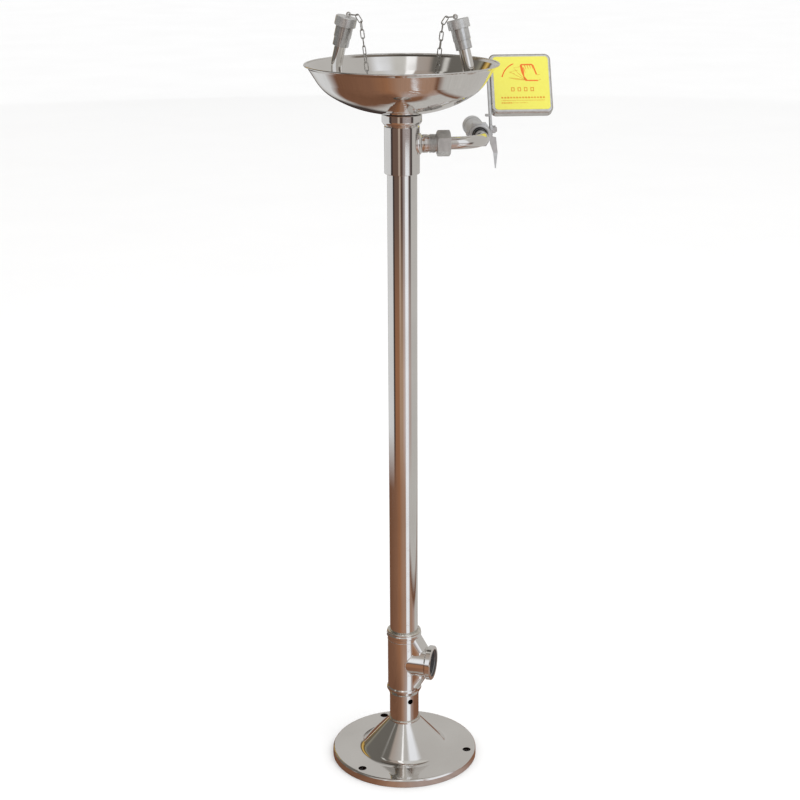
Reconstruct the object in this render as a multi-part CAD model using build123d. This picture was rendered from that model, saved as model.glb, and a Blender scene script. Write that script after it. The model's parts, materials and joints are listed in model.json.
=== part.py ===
from build123d import *
import math
import os

# Pedestal emergency eyewash in polished stainless steel, in millimetres.
# Origin: floor level, on the column's axis. +X points along the upper water branch,
# +Y points along the valve away from the person using it, +Z points up.

# ---------------------------------------------------------------- driving dimensions
FIT = 0.05                      # gap between a tube and the socket that it slides into
SHEET = 1.2                     # thin sheet of the bowl and the push plate

# base flange: a spun dish with a turned-down rim and a concave bell up to the neck
BASE_R = 111.0
BASE_H = 12.0
BASE_SHEET = 2.0
BASE_RIM_FILLET = 3.5
BELL_FOOT_R = 75.0
BELL_FOOT_ARC = 17.0
BELL_SLOPE_DEG = 47.0
NECK_TOP = 61.0
NECK_WALL = 2.0
ANCHOR_PCD = 196.0
ANCHOR_HOLE_R = 6.0
ANCHOR_COUNT = 3
ANCHOR_START_DEG = -15.0

# lower stub tube, between the base and the drain tee
STUB_R = 22.2
STUB_WALL = 2.0
STUB_BOTTOM = 50.0
STUB_TOP = 118.0
WEEP_HOLE_R = 4.0
WEEP_HOLE_Z = 95.0
WEEP_HOLE_DEG = -69.0

# drain tee
TEE_BOTTOM = 105.0
TEE_TOP = 209.0
TEE_R = 24.8
TEE_BEAD_R = 26.4
TEE_END_R = 23.2
TEE_BORE_R = 19.5
TEE_BRANCH_Z = 157.4
TEE_BRANCH_DEG = -20.0
TEE_BRANCH_REACH = 46.5
TEE_BRANCH_R = 23.6
TEE_RING_R = 26.2
TEE_RING_LENGTH = 8.5
TEE_THREAD_R = 20.9             # G 1 1/4 female thread, at its root
TEE_THREAD_LENGTH = 18.0
TEE_WEB_REACH = 36.0            # the cast web that joins the branch to the run
TEE_WEB_HALF = 17.0
TEE_WEB_HEIGHT = 42.0

# column tube
COLUMN_R = 21.2
COLUMN_WALL = 1.5
COLUMN_BOTTOM = 197.0
COLUMN_TOP = 936.0

# upper body: sleeve over the column, side branch, and collar under the bowl
BODY_R = 24.9
BODY_BOTTOM = 908.0
BODY_TOP = 990.5
COLLAR_R = 28.1
COLLAR_BOTTOM = 981.5
GROOVE_Z = 975.0
WATERWAY_R = 20.8
DRAIN_BORE_R = 17.0
DRAIN_BORE_BOTTOM = 976.0
BRANCH_Z = 949.1
BRANCH_R = 12.9
BRANCH_END = 36.0

# side nipple, union and elbow
NIPPLE_START = 26.0
NIPPLE_END = 57.0
NIPPLE_THREAD_R = 12.1          # G 3/4 thread, at its root
NIPPLE_SPIGOT_R = 10.0
NIPPLE_BORE_R = 6.8
NUT_START = 48.5
NUT_END = 67.5
NUT_ACROSS_FLATS = 32.0
NUT_BORE_R = 12.9
NUT_LIP = 5.0
UNION_SEAL = 2.0
TAIL_FLANGE = 3.2
ELBOW_R = 9.0
ELBOW_WALL = 1.5
ELBOW_BEND_R = 42.0

# riser and manifold, which carry the water up through the drain
RISER_R = 8.0
RISER_WALL = 1.2
RISER_BEND_R = 20.0
RISER_START = 30.0
MANIFOLD_BOTTOM = 1001.5
MANIFOLD_TOP = 1025.0
MANIFOLD_R = 12.5
MANIFOLD_BOSS_R = 10.4
MANIFOLD_BOSS_REACH = 19.0
MANIFOLD_SOCKET = 6.0
ARM_Z = 1013.0

# bowl
RIM_R = 135.0
RIM_Z = 1058.7
RIM_ROLL_R = 1.3
LIP_ROOT = (129.5, 1054.8)
SIDE_FOOT = (118.0, 1036.5)
SIDE_SLOPE_DEG = 58.0
KNUCKLE_FOOT = (98.5, 1016.8)
BOWL_SEAT_R = 28.0
BOWL_SEAT_Z = 992.5

# drain fitting, from the collar up
SEAL_R = 26.0
FLANGE_R = 25.0
FLANGE_THICKNESS = 2.0
TAILPIECE_BORE_R = 13.5
STRAINER_R = 21.0
STRAINER_THICKNESS = 1.2
STRAINER_SCREW_R = 1.5
STRAINER_SCREW_PCD_R = 17.5

# nozzle arms and heads, one each side of the bowl
ARM_DEG = -22.0                 # direction of the right arm about the column
ARM_REACH = 95.0
ARM_BEND_R = 35.0
ARM_STRAIGHT_TOP = 1052.0
ARM_TILT_DEG = 14.0             # the heads lean towards each other
ARM_TILT_BEND_R = 40.0
ARM_R = 8.0
ARM_WALL = 1.2
SLEEVE_START = 20.0             # distances along the head's axis from the end of the bend
SLEEVE_R = 11.2
HEAD_START = 32.0
HEAD_R = 12.0
HEAD_SKIRT = 48.0
HEAD_TOP = 57.7
ARM_TUBE_END = 37.0
SPRAY_R = 10.2
SPRAY_THICKNESS = 3.0
CAP_R = 15.0
CAP_TOP = 61.0
CAP_ROOF = 1.5
CAP_SEAL = 1.5
CAP_CLEARANCE = 0.35
EYE_RING_R = 2.6
EYE_WIRE_R = 1.1
EYE_OFFSET = 2.0                # the eye stands a little inward of the cap's centre
EYE_HEIGHT = 3.6

# chains
LINK_WIRE_R = 0.7
LINK_LENGTH = 14.4
LINK_WIDTH = 6.6
LINK_PITCH = 11.1
LINKS_HANGING = 7
CHAIN_EDGE = (13.85, 5.6)       # joint over the cap's edge: inward, above the cap's top
CHAIN_FALL_DEG = 42.0           # slope of the link that leaves the cap's edge
CORNER_PITCH = 10.3             # the joints of that link are nearer, where the chain bends
CLIP_EYE_RISE = 12.3            # eye of the chain clip above the arm's centre line
CLIP_R = 9.2
CLIP_WIDTH = 6.0

# valve: its axis is parallel to Y
VALVE_X = 117.5
STEM_Y = 122.0
VALVE_R = 14.0
COMPRESSION_NUT = (69.7, 83.5)
COMPRESSION_AF = 33.0
OLIVE = (74.2, 76.2)
VALVE_SPIGOT_R = 12.8
VALVE_SPIGOT_START = 76.4
VALVE_SHOULDER = 84.0
VALVE_BODY_END = 146.0
VALVE_END = 167.0
VALVE_END_R = 14.6
VALVE_PORT_R = 5.5
CHAMBER_R = 10.6
CHAMBER = (108.0, 136.0)
BALL_R = 10.0
END_SPIGOT_R = 11.9
INLET_THREAD_R = 10.5           # G 1/2 female thread, at its root
INLET_THREAD_LENGTH = 14.0
BOSS_R = 9.0
BOSS_END = 132.0
STEM_R = 4.0
STEM_END = 148.6
STEM_FLATS = 6.4
PACKING_R = 5.5
PACKING = (129.0, 130.6)
GLAND_AF = 13.0
GLAND_END = 135.4

# lever and push plate
LEVER_X = 138.2
LEVER_THICKNESS = 3.0
LEVER_HUB_R = 10.5
LEVER_STRIP_WIDTH = 12.0
LEVER_STRIP_LENGTH = 62.0
WASHER_THICKNESS = 1.2
WASHER_R = 6.5
STEM_NUT_AF = 10.0
STEM_NUT_THICKNESS = 4.6
PLATE_WIDTH = 92.0
PLATE_HEIGHT = 93.0
PLATE_DEPTH = 14.0
PLATE_CORNER_R = 9.0
PLATE_EDGE_R = 3.0
PLATE_LEAN_DEG = 30.0
PLATE_CENTRE_Y = 147.5
PLATE_CENTRE_Z = 1013.0
LABEL_WIDTH = 82.0
LABEL_HEIGHT = 83.0
LABEL_CORNER_R = 5.0
LABEL_THICKNESS = 0.4
LABEL_SHIFT = 0.8
TAIL_Y = 110.0
TAIL_THICKNESS = 2.4
TAIL_FOLD_Z = 916.5
TAIL_FOLD_DEG = 22.0
RIVET_R = 2.0
RIVET_HEAD_R = 3.5
RIVET_PLACES = (18.0, 52.0)     # along the lever's strip


# ---------------------------------------------------------------- helpers
def turned(*edges):
    """A solid of revolution about Z from edges drawn in (radius, height)."""
    return revolve(Plane.XZ * make_face(Curve() + list(edges)), Axis.Z)


def turned_outline(*points):
    """A solid of revolution about Z from a closed outline of straight lines."""
    return turned(Polyline(*points, close=True))


def tube(r_out, r_in, start, end):
    """A plain tube about Z."""
    return turned_outline((r_in, start), (r_out, start), (r_out, end), (r_in, end))


def rod(radius, start, end):
    """A cylinder about Z between two heights."""
    return Pos(0, 0, (start + end) / 2) * Cylinder(radius, end - start)


def hexagon(across_flats, start, end):
    """A hexagonal prism about Z with its corners turned to a shallow cone at both ends."""
    blank = extrude(RegularPolygon(across_flats / 2, 6, major_radius=False), end - start)
    corner = across_flats / math.sqrt(3)
    slope = 0.5 * (corner - across_flats / 2)
    face_r = across_flats / 2 - 0.3
    cone = turned_outline(
        (0, 0), (face_r, 0), (corner + 0.1, slope + 0.2),
        (corner + 0.1, end - start - slope - 0.2), (face_r, end - start), (0, end - start),
    )
    return Pos(0, 0, start) * (blank & cone)


def bent_tube(radius, wall, points, radii):
    """A tube along straight runs joined by tangent arcs."""
    path = FilletPolyline(*points, radius=radii)
    section = Plane(origin=path @ 0, z_dir=path % 0)
    outside = sweep(section * Circle(radius), path=path)
    inside = sweep(section * Circle(radius - wall), path=path)
    return outside - inside


def along_x(shape, y, z):
    """Turn a part drawn about Z so that its axis runs along +X through (y, z)."""
    return Pos(0, y, z) * Rot(0, 90, 0) * shape


def along_y(shape, x, z):
    """Turn a part drawn about Z so that its axis runs along +Y through (x, z)."""
    return Pos(x, 0, z) * Rot(-90, 0, 0) * shape


def polar(radius, degrees):
    """X and Y of a point at a radius and a bearing about the column."""
    angle = math.radians(degrees)
    return radius * math.cos(angle), radius * math.sin(angle)


# ---------------------------------------------------------------- base and column
def base_flange():
    slope = math.radians(BELL_SLOPE_DEG)
    centre_z = BASE_H + BELL_FOOT_ARC
    neck_r = STUB_R + FIT
    rim = BASE_RIM_FILLET

    def foot_end(arc):
        return BELL_FOOT_R - arc * math.sin(slope), centre_z - arc * math.cos(slope)

    def on_slope(arc, radius):
        r, z = foot_end(arc)
        return radius, z + (r - radius) * math.tan(slope)

    outer_foot = foot_end(BELL_FOOT_ARC)
    inner_arc = BELL_FOOT_ARC + BASE_SHEET
    inner_foot = foot_end(inner_arc)
    neck_outer = on_slope(BELL_FOOT_ARC, neck_r + NECK_WALL)
    neck_inner = on_slope(inner_arc, neck_r)
    dish = turned(
        Line((BASE_R, 0), (BASE_R, BASE_H - rim)),
        TangentArc((BASE_R, BASE_H - rim), (BASE_R - rim, BASE_H), tangent=(0, 1)),
        Line((BASE_R - rim, BASE_H), (BELL_FOOT_R, BASE_H)),
        TangentArc((BELL_FOOT_R, BASE_H), outer_foot, tangent=(-1, 0)),
        Polyline(
            outer_foot, neck_outer, (neck_r + NECK_WALL, NECK_TOP), (neck_r, NECK_TOP), neck_inner, inner_foot
        ),
        TangentArc((BELL_FOOT_R, BASE_H - BASE_SHEET), inner_foot, tangent=(-1, 0)),
        Line((BELL_FOOT_R, BASE_H - BASE_SHEET), (BASE_R - rim, BASE_H - BASE_SHEET)),
        TangentArc(
            (BASE_R - BASE_SHEET, BASE_H - rim), (BASE_R - rim, BASE_H - BASE_SHEET), tangent=(0, 1)
        ),
        Polyline((BASE_R - BASE_SHEET, BASE_H - rim), (BASE_R - BASE_SHEET, 0), (BASE_R, 0)),
    )
    for index in range(ANCHOR_COUNT):
        x, y = polar(ANCHOR_PCD / 2, ANCHOR_START_DEG + index * 360 / ANCHOR_COUNT)
        dish -= Pos(x, y, BASE_H) * Cylinder(ANCHOR_HOLE_R, 4 * BASE_SHEET)
    return dish


def lower_stub():
    stub = tube(STUB_R, STUB_R - STUB_WALL, STUB_BOTTOM, STUB_TOP)
    drill = Rot(0, 0, WEEP_HOLE_DEG) * along_x(rod(WEEP_HOLE_R, 0, 2 * STUB_R), 0, WEEP_HOLE_Z)
    return stub - drill


def tee_web():
    """The tapering cast web above and below the branch, where it joins the run."""
    profile = Polyline(
        (0, TEE_WEB_HEIGHT), (TEE_R, TEE_WEB_HEIGHT), (TEE_WEB_REACH, TEE_BRANCH_R),
        (TEE_WEB_REACH, -TEE_BRANCH_R), (TEE_R, -TEE_WEB_HEIGHT), (0, -TEE_WEB_HEIGHT), close=True,
    )
    web = extrude(Plane.XZ * make_face(profile), TEE_WEB_HALF, both=True)
    edges = [e for e in web.edges() if e.center().X > TEE_R and abs(e.center().Y) > TEE_WEB_HALF - 0.1]
    return fillet([e for e in edges if abs(e.center().Z) < TEE_WEB_HEIGHT and e.length > 5], TEE_WEB_HALF - 4)


def drain_tee():
    bead = TEE_BEAD_R - TEE_R
    run = turned_outline(
        (0, TEE_BOTTOM), (TEE_END_R, TEE_BOTTOM), (TEE_END_R + 0.8, TEE_BOTTOM + 2),
        (TEE_BEAD_R, TEE_BOTTOM + 6.5), (TEE_BEAD_R, TEE_BOTTOM + 9.5), (TEE_R, TEE_BOTTOM + 9.5 + bead),
        (TEE_R, TEE_TOP - 8 - bead), (TEE_BEAD_R, TEE_TOP - 8), (TEE_BEAD_R, TEE_TOP - 5),
        (TEE_END_R + 0.6, TEE_TOP - 0.8), (TEE_END_R, TEE_TOP), (0, TEE_TOP),
    )
    ring_start = TEE_BRANCH_REACH - TEE_RING_LENGTH
    branch = turned_outline(
        (0, 0), (TEE_BRANCH_R, 0), (TEE_BRANCH_R, ring_start - 1.5), (TEE_RING_R, ring_start + 1),
        (TEE_RING_R, TEE_BRANCH_REACH - 1), (TEE_RING_R - 1, TEE_BRANCH_REACH), (0, TEE_BRANCH_REACH),
    )
    web = Pos(0, 0, TEE_BRANCH_Z) * tee_web()
    outside = run + Rot(0, 0, TEE_BRANCH_DEG) * (web + along_x(branch, 0, TEE_BRANCH_Z))
    thread_start = TEE_BRANCH_REACH - TEE_THREAD_LENGTH
    branch_bore = rod(TEE_BORE_R, 0, TEE_BRANCH_REACH) + rod(TEE_THREAD_R, thread_start, TEE_BRANCH_REACH)
    run_bore = (
        rod(TEE_BORE_R, TEE_BOTTOM, TEE_TOP)
        + rod(STUB_R + FIT, TEE_BOTTOM, STUB_TOP + 0.5)
        + rod(COLUMN_R + FIT, COLUMN_BOTTOM - 0.2, TEE_TOP)
    )
    return outside - run_bore - Rot(0, 0, TEE_BRANCH_DEG) * along_x(branch_bore, 0, TEE_BRANCH_Z)


def column_tube():
    return tube(COLUMN_R, COLUMN_R - COLUMN_WALL, COLUMN_BOTTOM, COLUMN_TOP)


def upper_body():
    body = turned(
        Polyline(
            (0, BODY_BOTTOM), (BODY_R - 0.5, BODY_BOTTOM), (BODY_R, BODY_BOTTOM + 0.5),
            (BODY_R, GROOVE_Z - 1.4), (BODY_R - 0.7, GROOVE_Z), (BODY_R + 0.3, GROOVE_Z + 1.6),
        ),
        TangentArc((BODY_R + 0.3, GROOVE_Z + 1.6), (COLLAR_R, COLLAR_BOTTOM), tangent=(1, 0.7)),
        Polyline(
            (COLLAR_R, COLLAR_BOTTOM), (COLLAR_R, BODY_TOP - 0.8), (COLLAR_R - 0.8, BODY_TOP),
            (0, BODY_TOP), (0, BODY_BOTTOM),
        ),
    )
    branch = turned(
        Line((0, 0), (BRANCH_R + 4.4, 0)),
        Line((BRANCH_R + 4.4, 0), (BRANCH_R + 4.4, BODY_R - 4)),
        TangentArc((BRANCH_R + 4.4, BODY_R - 4), (BRANCH_R - 0.6, BODY_R + 2.6), tangent=(-0.15, 1)),
        TangentArc((BRANCH_R - 0.6, BODY_R + 2.6), (BRANCH_R, BRANCH_END - 3), tangent=(0.35, 1)),
        Polyline(
            (BRANCH_R, BRANCH_END - 3), (BRANCH_R, BRANCH_END - 0.6), (BRANCH_R - 0.6, BRANCH_END),
            (0, BRANCH_END), (0, 0),
        ),
    )
    body += along_x(branch, 0, BRANCH_Z)
    run_bore = (
        rod(COLUMN_R + FIT, BODY_BOTTOM, COLUMN_TOP + 0.5)
        + rod(WATERWAY_R, COLUMN_TOP, DRAIN_BORE_BOTTOM)
        + rod(DRAIN_BORE_R, DRAIN_BORE_BOTTOM, BODY_TOP)
    )
    branch_bore = rod(RISER_R + FIT, 0, BRANCH_END) + rod(NIPPLE_SPIGOT_R, NIPPLE_START, BRANCH_END)
    return body - run_bore - along_x(branch_bore, 0, BRANCH_Z)


# ---------------------------------------------------------------- water inlet side
def side_nipple():
    nipple = turned_outline(
        (NIPPLE_BORE_R, NIPPLE_START), (NIPPLE_SPIGOT_R, NIPPLE_START), (NIPPLE_SPIGOT_R, BRANCH_END),
        (NIPPLE_THREAD_R, BRANCH_END), (NIPPLE_THREAD_R, NIPPLE_END), (NIPPLE_BORE_R, NIPPLE_END),
    )
    nipple -= rod(RISER_R, NIPPLE_START, RISER_START)
    return along_x(nipple, 0, BRANCH_Z)


def union_nut():
    nut = hexagon(NUT_ACROSS_FLATS, NUT_START, NUT_END)
    nut -= rod(NUT_BORE_R, NUT_START, NUT_END - NUT_LIP)
    nut -= rod(ELBOW_R + 0.4, NUT_START, NUT_END)
    return along_x(nut, 0, BRANCH_Z)


def union_seal():
    return along_x(tube(NIPPLE_THREAD_R, NIPPLE_BORE_R, NIPPLE_END, NIPPLE_END + UNION_SEAL), 0, BRANCH_Z)


def union_tail_flange():
    start = NIPPLE_END + UNION_SEAL
    return along_x(tube(NUT_BORE_R - 0.2, ELBOW_R, start, start + TAIL_FLANGE), 0, BRANCH_Z)


def elbow_tube():
    points = (
        (NIPPLE_END + UNION_SEAL, 0, BRANCH_Z),
        (VALVE_X, 0, BRANCH_Z),
        (VALVE_X, VALVE_SPIGOT_START + 3.6, BRANCH_Z),
    )
    return bent_tube(ELBOW_R, ELBOW_WALL, points, ELBOW_BEND_R)


def riser_tube():
    points = ((RISER_START, 0, BRANCH_Z), (0, 0, BRANCH_Z), (0, 0, MANIFOLD_BOTTOM + MANIFOLD_SOCKET))
    return bent_tube(RISER_R, RISER_WALL, points, RISER_BEND_R)


def manifold():
    block = turned_outline(
        (0, MANIFOLD_BOTTOM), (MANIFOLD_R - 1, MANIFOLD_BOTTOM), (MANIFOLD_R, MANIFOLD_BOTTOM + 1),
        (MANIFOLD_R, MANIFOLD_TOP - 4), (MANIFOLD_R - 4, MANIFOLD_TOP), (0, MANIFOLD_TOP),
    )
    boss = rod(MANIFOLD_BOSS_R, -MANIFOLD_BOSS_REACH, MANIFOLD_BOSS_REACH)
    passage = rod(ARM_R - ARM_WALL, -MANIFOLD_BOSS_REACH, MANIFOLD_BOSS_REACH)
    sockets = rod(ARM_R + FIT, -MANIFOLD_BOSS_REACH, -MANIFOLD_BOSS_REACH + MANIFOLD_SOCKET)
    sockets += rod(ARM_R + FIT, MANIFOLD_BOSS_REACH - MANIFOLD_SOCKET, MANIFOLD_BOSS_REACH)
    block += Rot(0, 0, ARM_DEG) * along_x(boss, 0, ARM_Z)
    block -= Rot(0, 0, ARM_DEG) * along_x(passage + sockets, 0, ARM_Z)
    block -= rod(RISER_R + FIT, MANIFOLD_BOTTOM, MANIFOLD_BOTTOM + MANIFOLD_SOCKET)
    return block - rod(RISER_R - RISER_WALL, MANIFOLD_BOTTOM, ARM_Z)


# ---------------------------------------------------------------- bowl and drain
def bowl():
    def inside(point, degrees):
        angle = math.radians(degrees)
        return point[0] - SHEET * math.sin(angle), point[1] + SHEET * math.cos(angle)

    def heading(degrees):
        angle = math.radians(degrees)
        return -math.cos(angle), -math.sin(angle)

    chord = math.atan2(SIDE_FOOT[1] - KNUCKLE_FOOT[1], SIDE_FOOT[0] - KNUCKLE_FOOT[0])
    bottom_deg = 2 * math.degrees(chord) - SIDE_SLOPE_DEG
    lip_deg = math.degrees(math.atan2(RIM_Z - LIP_ROOT[1], RIM_R - LIP_ROOT[0]))
    side_top = LIP_ROOT
    seat_edge = (BOWL_SEAT_R, BOWL_SEAT_Z)
    seat_inner = (BOWL_SEAT_R, BOWL_SEAT_Z + SHEET)
    rim_inner = inside((RIM_R, RIM_Z), lip_deg)
    lip_inner = inside(side_top, (lip_deg + SIDE_SLOPE_DEG) / 2)
    side_inner = inside(SIDE_FOOT, SIDE_SLOPE_DEG)
    knuckle_inner = inside(KNUCKLE_FOOT, bottom_deg)
    hole_r = DRAIN_BORE_R + 0.2
    shell = turned(
        Polyline((RIM_R, RIM_Z), side_top, SIDE_FOOT),
        TangentArc(SIDE_FOOT, KNUCKLE_FOOT, tangent=heading(SIDE_SLOPE_DEG)),
        TangentArc(KNUCKLE_FOOT, seat_edge, tangent=heading(bottom_deg)),
        Polyline(seat_edge, (hole_r, BOWL_SEAT_Z), (hole_r, BOWL_SEAT_Z + SHEET), seat_inner),
        TangentArc(knuckle_inner, seat_inner, tangent=heading(bottom_deg)),
        TangentArc(side_inner, knuckle_inner, tangent=heading(SIDE_SLOPE_DEG)),
        Polyline(side_inner, lip_inner, rim_inner, (RIM_R, RIM_Z)),
    )
    roll_centre = (RIM_R - RIM_ROLL_R, RIM_Z)
    roll = revolve(Plane.XZ * Pos(*roll_centre) * Circle(RIM_ROLL_R), Axis.Z)
    return shell + roll


def bowl_seal():
    return tube(SEAL_R, DRAIN_BORE_R + 0.2, BODY_TOP, BOWL_SEAT_Z)


def strainer_seal():
    start = BOWL_SEAT_Z + SHEET
    return tube(FLANGE_R, DRAIN_BORE_R + 0.2, start, start + 1)


def flange_bottom():
    return BOWL_SEAT_Z + SHEET + 1


def strainer_holes(radius, start, end):
    """The two screw holes of the strainer plate."""
    return [Pos(x, 0, 0) * rod(radius, start, end) for x in (-STRAINER_SCREW_PCD_R, STRAINER_SCREW_PCD_R)]


def drain_tailpiece():
    start = flange_bottom()
    end = start + FLANGE_THICKNESS
    tail = tube(DRAIN_BORE_R - FIT, TAILPIECE_BORE_R, DRAIN_BORE_BOTTOM + 0.5, end)
    tail += tube(FLANGE_R, TAILPIECE_BORE_R, start, end)
    return tail - strainer_holes(STRAINER_SCREW_R, start, end)


def strainer_plate():
    start = flange_bottom() + FLANGE_THICKNESS
    end = start + STRAINER_THICKNESS
    plate = tube(STRAINER_R, RISER_R + 0.3, start, end)
    for radius, count in ((10.6, 14), (13.6, 18)):
        for index in range(count):
            x, y = polar(radius, index * 360 / count + 10)
            plate -= Pos(x, y, 0) * rod(1.1, start, end)
    return plate - strainer_holes(STRAINER_SCREW_R + 0.2, start, end)


def strainer_screws():
    start = flange_bottom() + 0.1
    seat = flange_bottom() + FLANGE_THICKNESS + STRAINER_THICKNESS
    screw = rod(STRAINER_SCREW_R, start, seat) + rod(2.8, seat, seat + 1.6)
    screw -= Pos(0, 0, seat + 1.6) * Box(4.4, 0.8, 1.4)
    return [Pos(x, 0, 0) * screw for x in (-STRAINER_SCREW_PCD_R, STRAINER_SCREW_PCD_R)]


# ---------------------------------------------------------------- nozzle arms and heads
# A side's parts are drawn in the plane of its arm: x is the distance from the column,
# and y is tangential. The side's bearing then turns them into place.
SIDES = {"right": ARM_DEG, "left": ARM_DEG + 180}
TILT = math.radians(ARM_TILT_DEG)
HEAD_BASE = (
    ARM_REACH - ARM_TILT_BEND_R * (1 - math.cos(TILT)),
    ARM_STRAIGHT_TOP + ARM_TILT_BEND_R * math.sin(TILT),
)


def on_head(distance, inward=0.0):
    """A point in the arm's plane, at a distance along the head's axis and inward of it."""
    x = HEAD_BASE[0] - distance * math.sin(TILT) - inward * math.cos(TILT)
    z = HEAD_BASE[1] + distance * math.cos(TILT) - inward * math.sin(TILT)
    return x, z


def at_head(shape):
    """Move a part drawn about Z onto the head's leaning axis."""
    return Pos(HEAD_BASE[0], 0, HEAD_BASE[1]) * Rot(0, -ARM_TILT_DEG, 0) * shape


def nozzle_arm():
    knee = (ARM_REACH, 0, ARM_STRAIGHT_TOP + ARM_TILT_BEND_R * math.tan(TILT / 2))
    end_x, end_z = on_head(ARM_TUBE_END)
    start = (MANIFOLD_BOSS_REACH - MANIFOLD_SOCKET, 0, ARM_Z)
    points = (start, (ARM_REACH, 0, ARM_Z), knee, (end_x, 0, end_z))
    return bent_tube(ARM_R, ARM_WALL, points, (ARM_BEND_R, ARM_TILT_BEND_R))


def nozzle_sleeve():
    return at_head(
        turned_outline(
            (ARM_R + FIT, SLEEVE_START), (SLEEVE_R - 0.5, SLEEVE_START), (SLEEVE_R, SLEEVE_START + 0.5),
            (SLEEVE_R, HEAD_START), (ARM_R + FIT, HEAD_START),
        )
    )


def nozzle_head():
    waterway_r = ARM_R - ARM_WALL
    return at_head(
        turned_outline(
            (ARM_R + FIT, HEAD_START), (HEAD_R - 0.4, HEAD_START), (HEAD_R, HEAD_START + 0.4),
            (HEAD_R, HEAD_TOP - 0.5), (HEAD_R - 0.5, HEAD_TOP), (SPRAY_R, HEAD_TOP),
            (SPRAY_R, HEAD_SKIRT), (waterway_r, HEAD_SKIRT), (waterway_r, ARM_TUBE_END),
            (ARM_R + FIT, ARM_TUBE_END),
        )
    )


def spray_insert():
    start = HEAD_TOP - 1.5 - SPRAY_THICKNESS
    end = start + SPRAY_THICKNESS
    insert = rod(SPRAY_R, start, end) + tube(SPRAY_R, SPRAY_R - 1.5, HEAD_SKIRT, start)
    for radius, count in ((0, 1), (3.6, 6), (7.0, 12)):
        for index in range(count):
            x, y = polar(radius, index * 360 / count)
            insert -= Pos(x, y, 0) * rod(0.7, start, end)
    return at_head(insert)


def dust_cap():
    inner_r = HEAD_R + CAP_CLEARANCE
    cap = turned_outline(
        (0, CAP_TOP), (CAP_R - 1, CAP_TOP), (CAP_R, CAP_TOP - 1), (CAP_R, HEAD_SKIRT + 0.5),
        (CAP_R - 0.5, HEAD_SKIRT), (inner_r, HEAD_SKIRT), (inner_r, CAP_TOP - CAP_ROOF),
        (0, CAP_TOP - CAP_ROOF),
    )
    return at_head(cap - Pos(-EYE_OFFSET, 0, 0) * rod(EYE_WIRE_R, CAP_TOP - CAP_ROOF, CAP_TOP))


def cap_seal():
    top = CAP_TOP - CAP_ROOF
    return at_head(rod(HEAD_R, top - CAP_SEAL, top))


def cap_eye():
    shank = rod(EYE_WIRE_R, CAP_TOP - CAP_ROOF, CAP_TOP + EYE_HEIGHT - EYE_RING_R)
    ring = Pos(0, 0, CAP_TOP + EYE_HEIGHT) * Rot(90, 0, 0) * Torus(EYE_RING_R, EYE_WIRE_R)
    return at_head(Pos(-EYE_OFFSET, 0, 0) * (shank + ring))


def chain_joints():
    """Where each link meets the next, in the arm's plane, from the cap's eye to the clip's eye."""
    half_reach = LINK_LENGTH / 2 - LINK_WIRE_R
    eye = on_head(CAP_TOP + EYE_HEIGHT, EYE_OFFSET)
    edge = on_head(CAP_TOP + CHAIN_EDGE[1], CHAIN_EDGE[0])
    fall = math.radians(CHAIN_FALL_DEG)
    below = on_head(
        CAP_TOP + CHAIN_EDGE[1] - CORNER_PITCH * math.sin(fall),
        CHAIN_EDGE[0] + CORNER_PITCH * math.cos(fall),
    )
    last = half_reach + LINK_PITCH / 2
    drop = below[1] - (ARM_Z + CLIP_EYE_RISE)
    run = math.sqrt((LINKS_HANGING * LINK_PITCH + last) ** 2 - drop**2)
    length = math.hypot(run, drop)
    joints = [eye, edge, below]
    for index in range(1, LINKS_HANGING + 1):
        part = index * LINK_PITCH / length
        joints.append((below[0] - part * run, below[1] - part * drop))
    joints.append((below[0] - run, below[1] - drop))
    return joints


def chain_link():
    """One link, long side along X, lying in the XY plane."""
    straight = LINK_LENGTH - LINK_WIDTH
    bend_r = LINK_WIDTH / 2 - LINK_WIRE_R
    path = SlotCenterToCenter(straight, 2 * bend_r).wire()
    section = Plane(origin=path @ 0, z_dir=path % 0)
    return sweep(section * Circle(LINK_WIRE_R), path=path)


def chain():
    """The links, each turned a quarter from the one before it."""
    joints = chain_joints()
    link = chain_link()
    reach = LINK_LENGTH / 2 - LINK_WIRE_R
    links = []
    for index, (start, end) in enumerate(zip(joints, joints[1:])):
        length = math.hypot(end[0] - start[0], end[1] - start[1])
        along = ((end[0] - start[0]) / length, (end[1] - start[1]) / length)
        middle = length / 2
        if index == 0:
            middle = reach
        if index == len(joints) - 2:
            middle = length - reach
        centre = Vector(start[0] + along[0] * middle, 0, start[1] + along[1] * middle)
        across = Vector(0, 1, 0) if index % 2 else Vector(-along[1], 0, along[0])
        links.append(Plane(origin=centre, x_dir=(along[0], 0, along[1]), z_dir=across) * link)
    return links


def chain_clip():
    """A band round the arm with an eye on top, where the chain ends."""
    reach = chain_joints()[-1][0]
    band = along_x(tube(CLIP_R, ARM_R + FIT, reach - CLIP_WIDTH / 2, reach + CLIP_WIDTH / 2), 0, ARM_Z)
    ring_axis = Rot(90, 0, 0) if (LINKS_HANGING + 3) % 2 else Rot(0, 90, 0)
    eye = Pos(reach, 0, ARM_Z + CLIP_EYE_RISE) * ring_axis * Torus(EYE_RING_R, EYE_WIRE_R)
    return band + eye


# ---------------------------------------------------------------- valve
def compression_nut():
    start, end = COMPRESSION_NUT
    nut = hexagon(COMPRESSION_AF, start, end)
    nut -= rod(ELBOW_R + FIT, start, end)
    nut -= rod(VALVE_SPIGOT_R + FIT, OLIVE[0], end)
    return along_y(nut, VALVE_X, BRANCH_Z)


def compression_ring():
    return along_y(tube(VALVE_SPIGOT_R - 0.5, ELBOW_R, *OLIVE), VALVE_X, BRANCH_Z)


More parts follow.
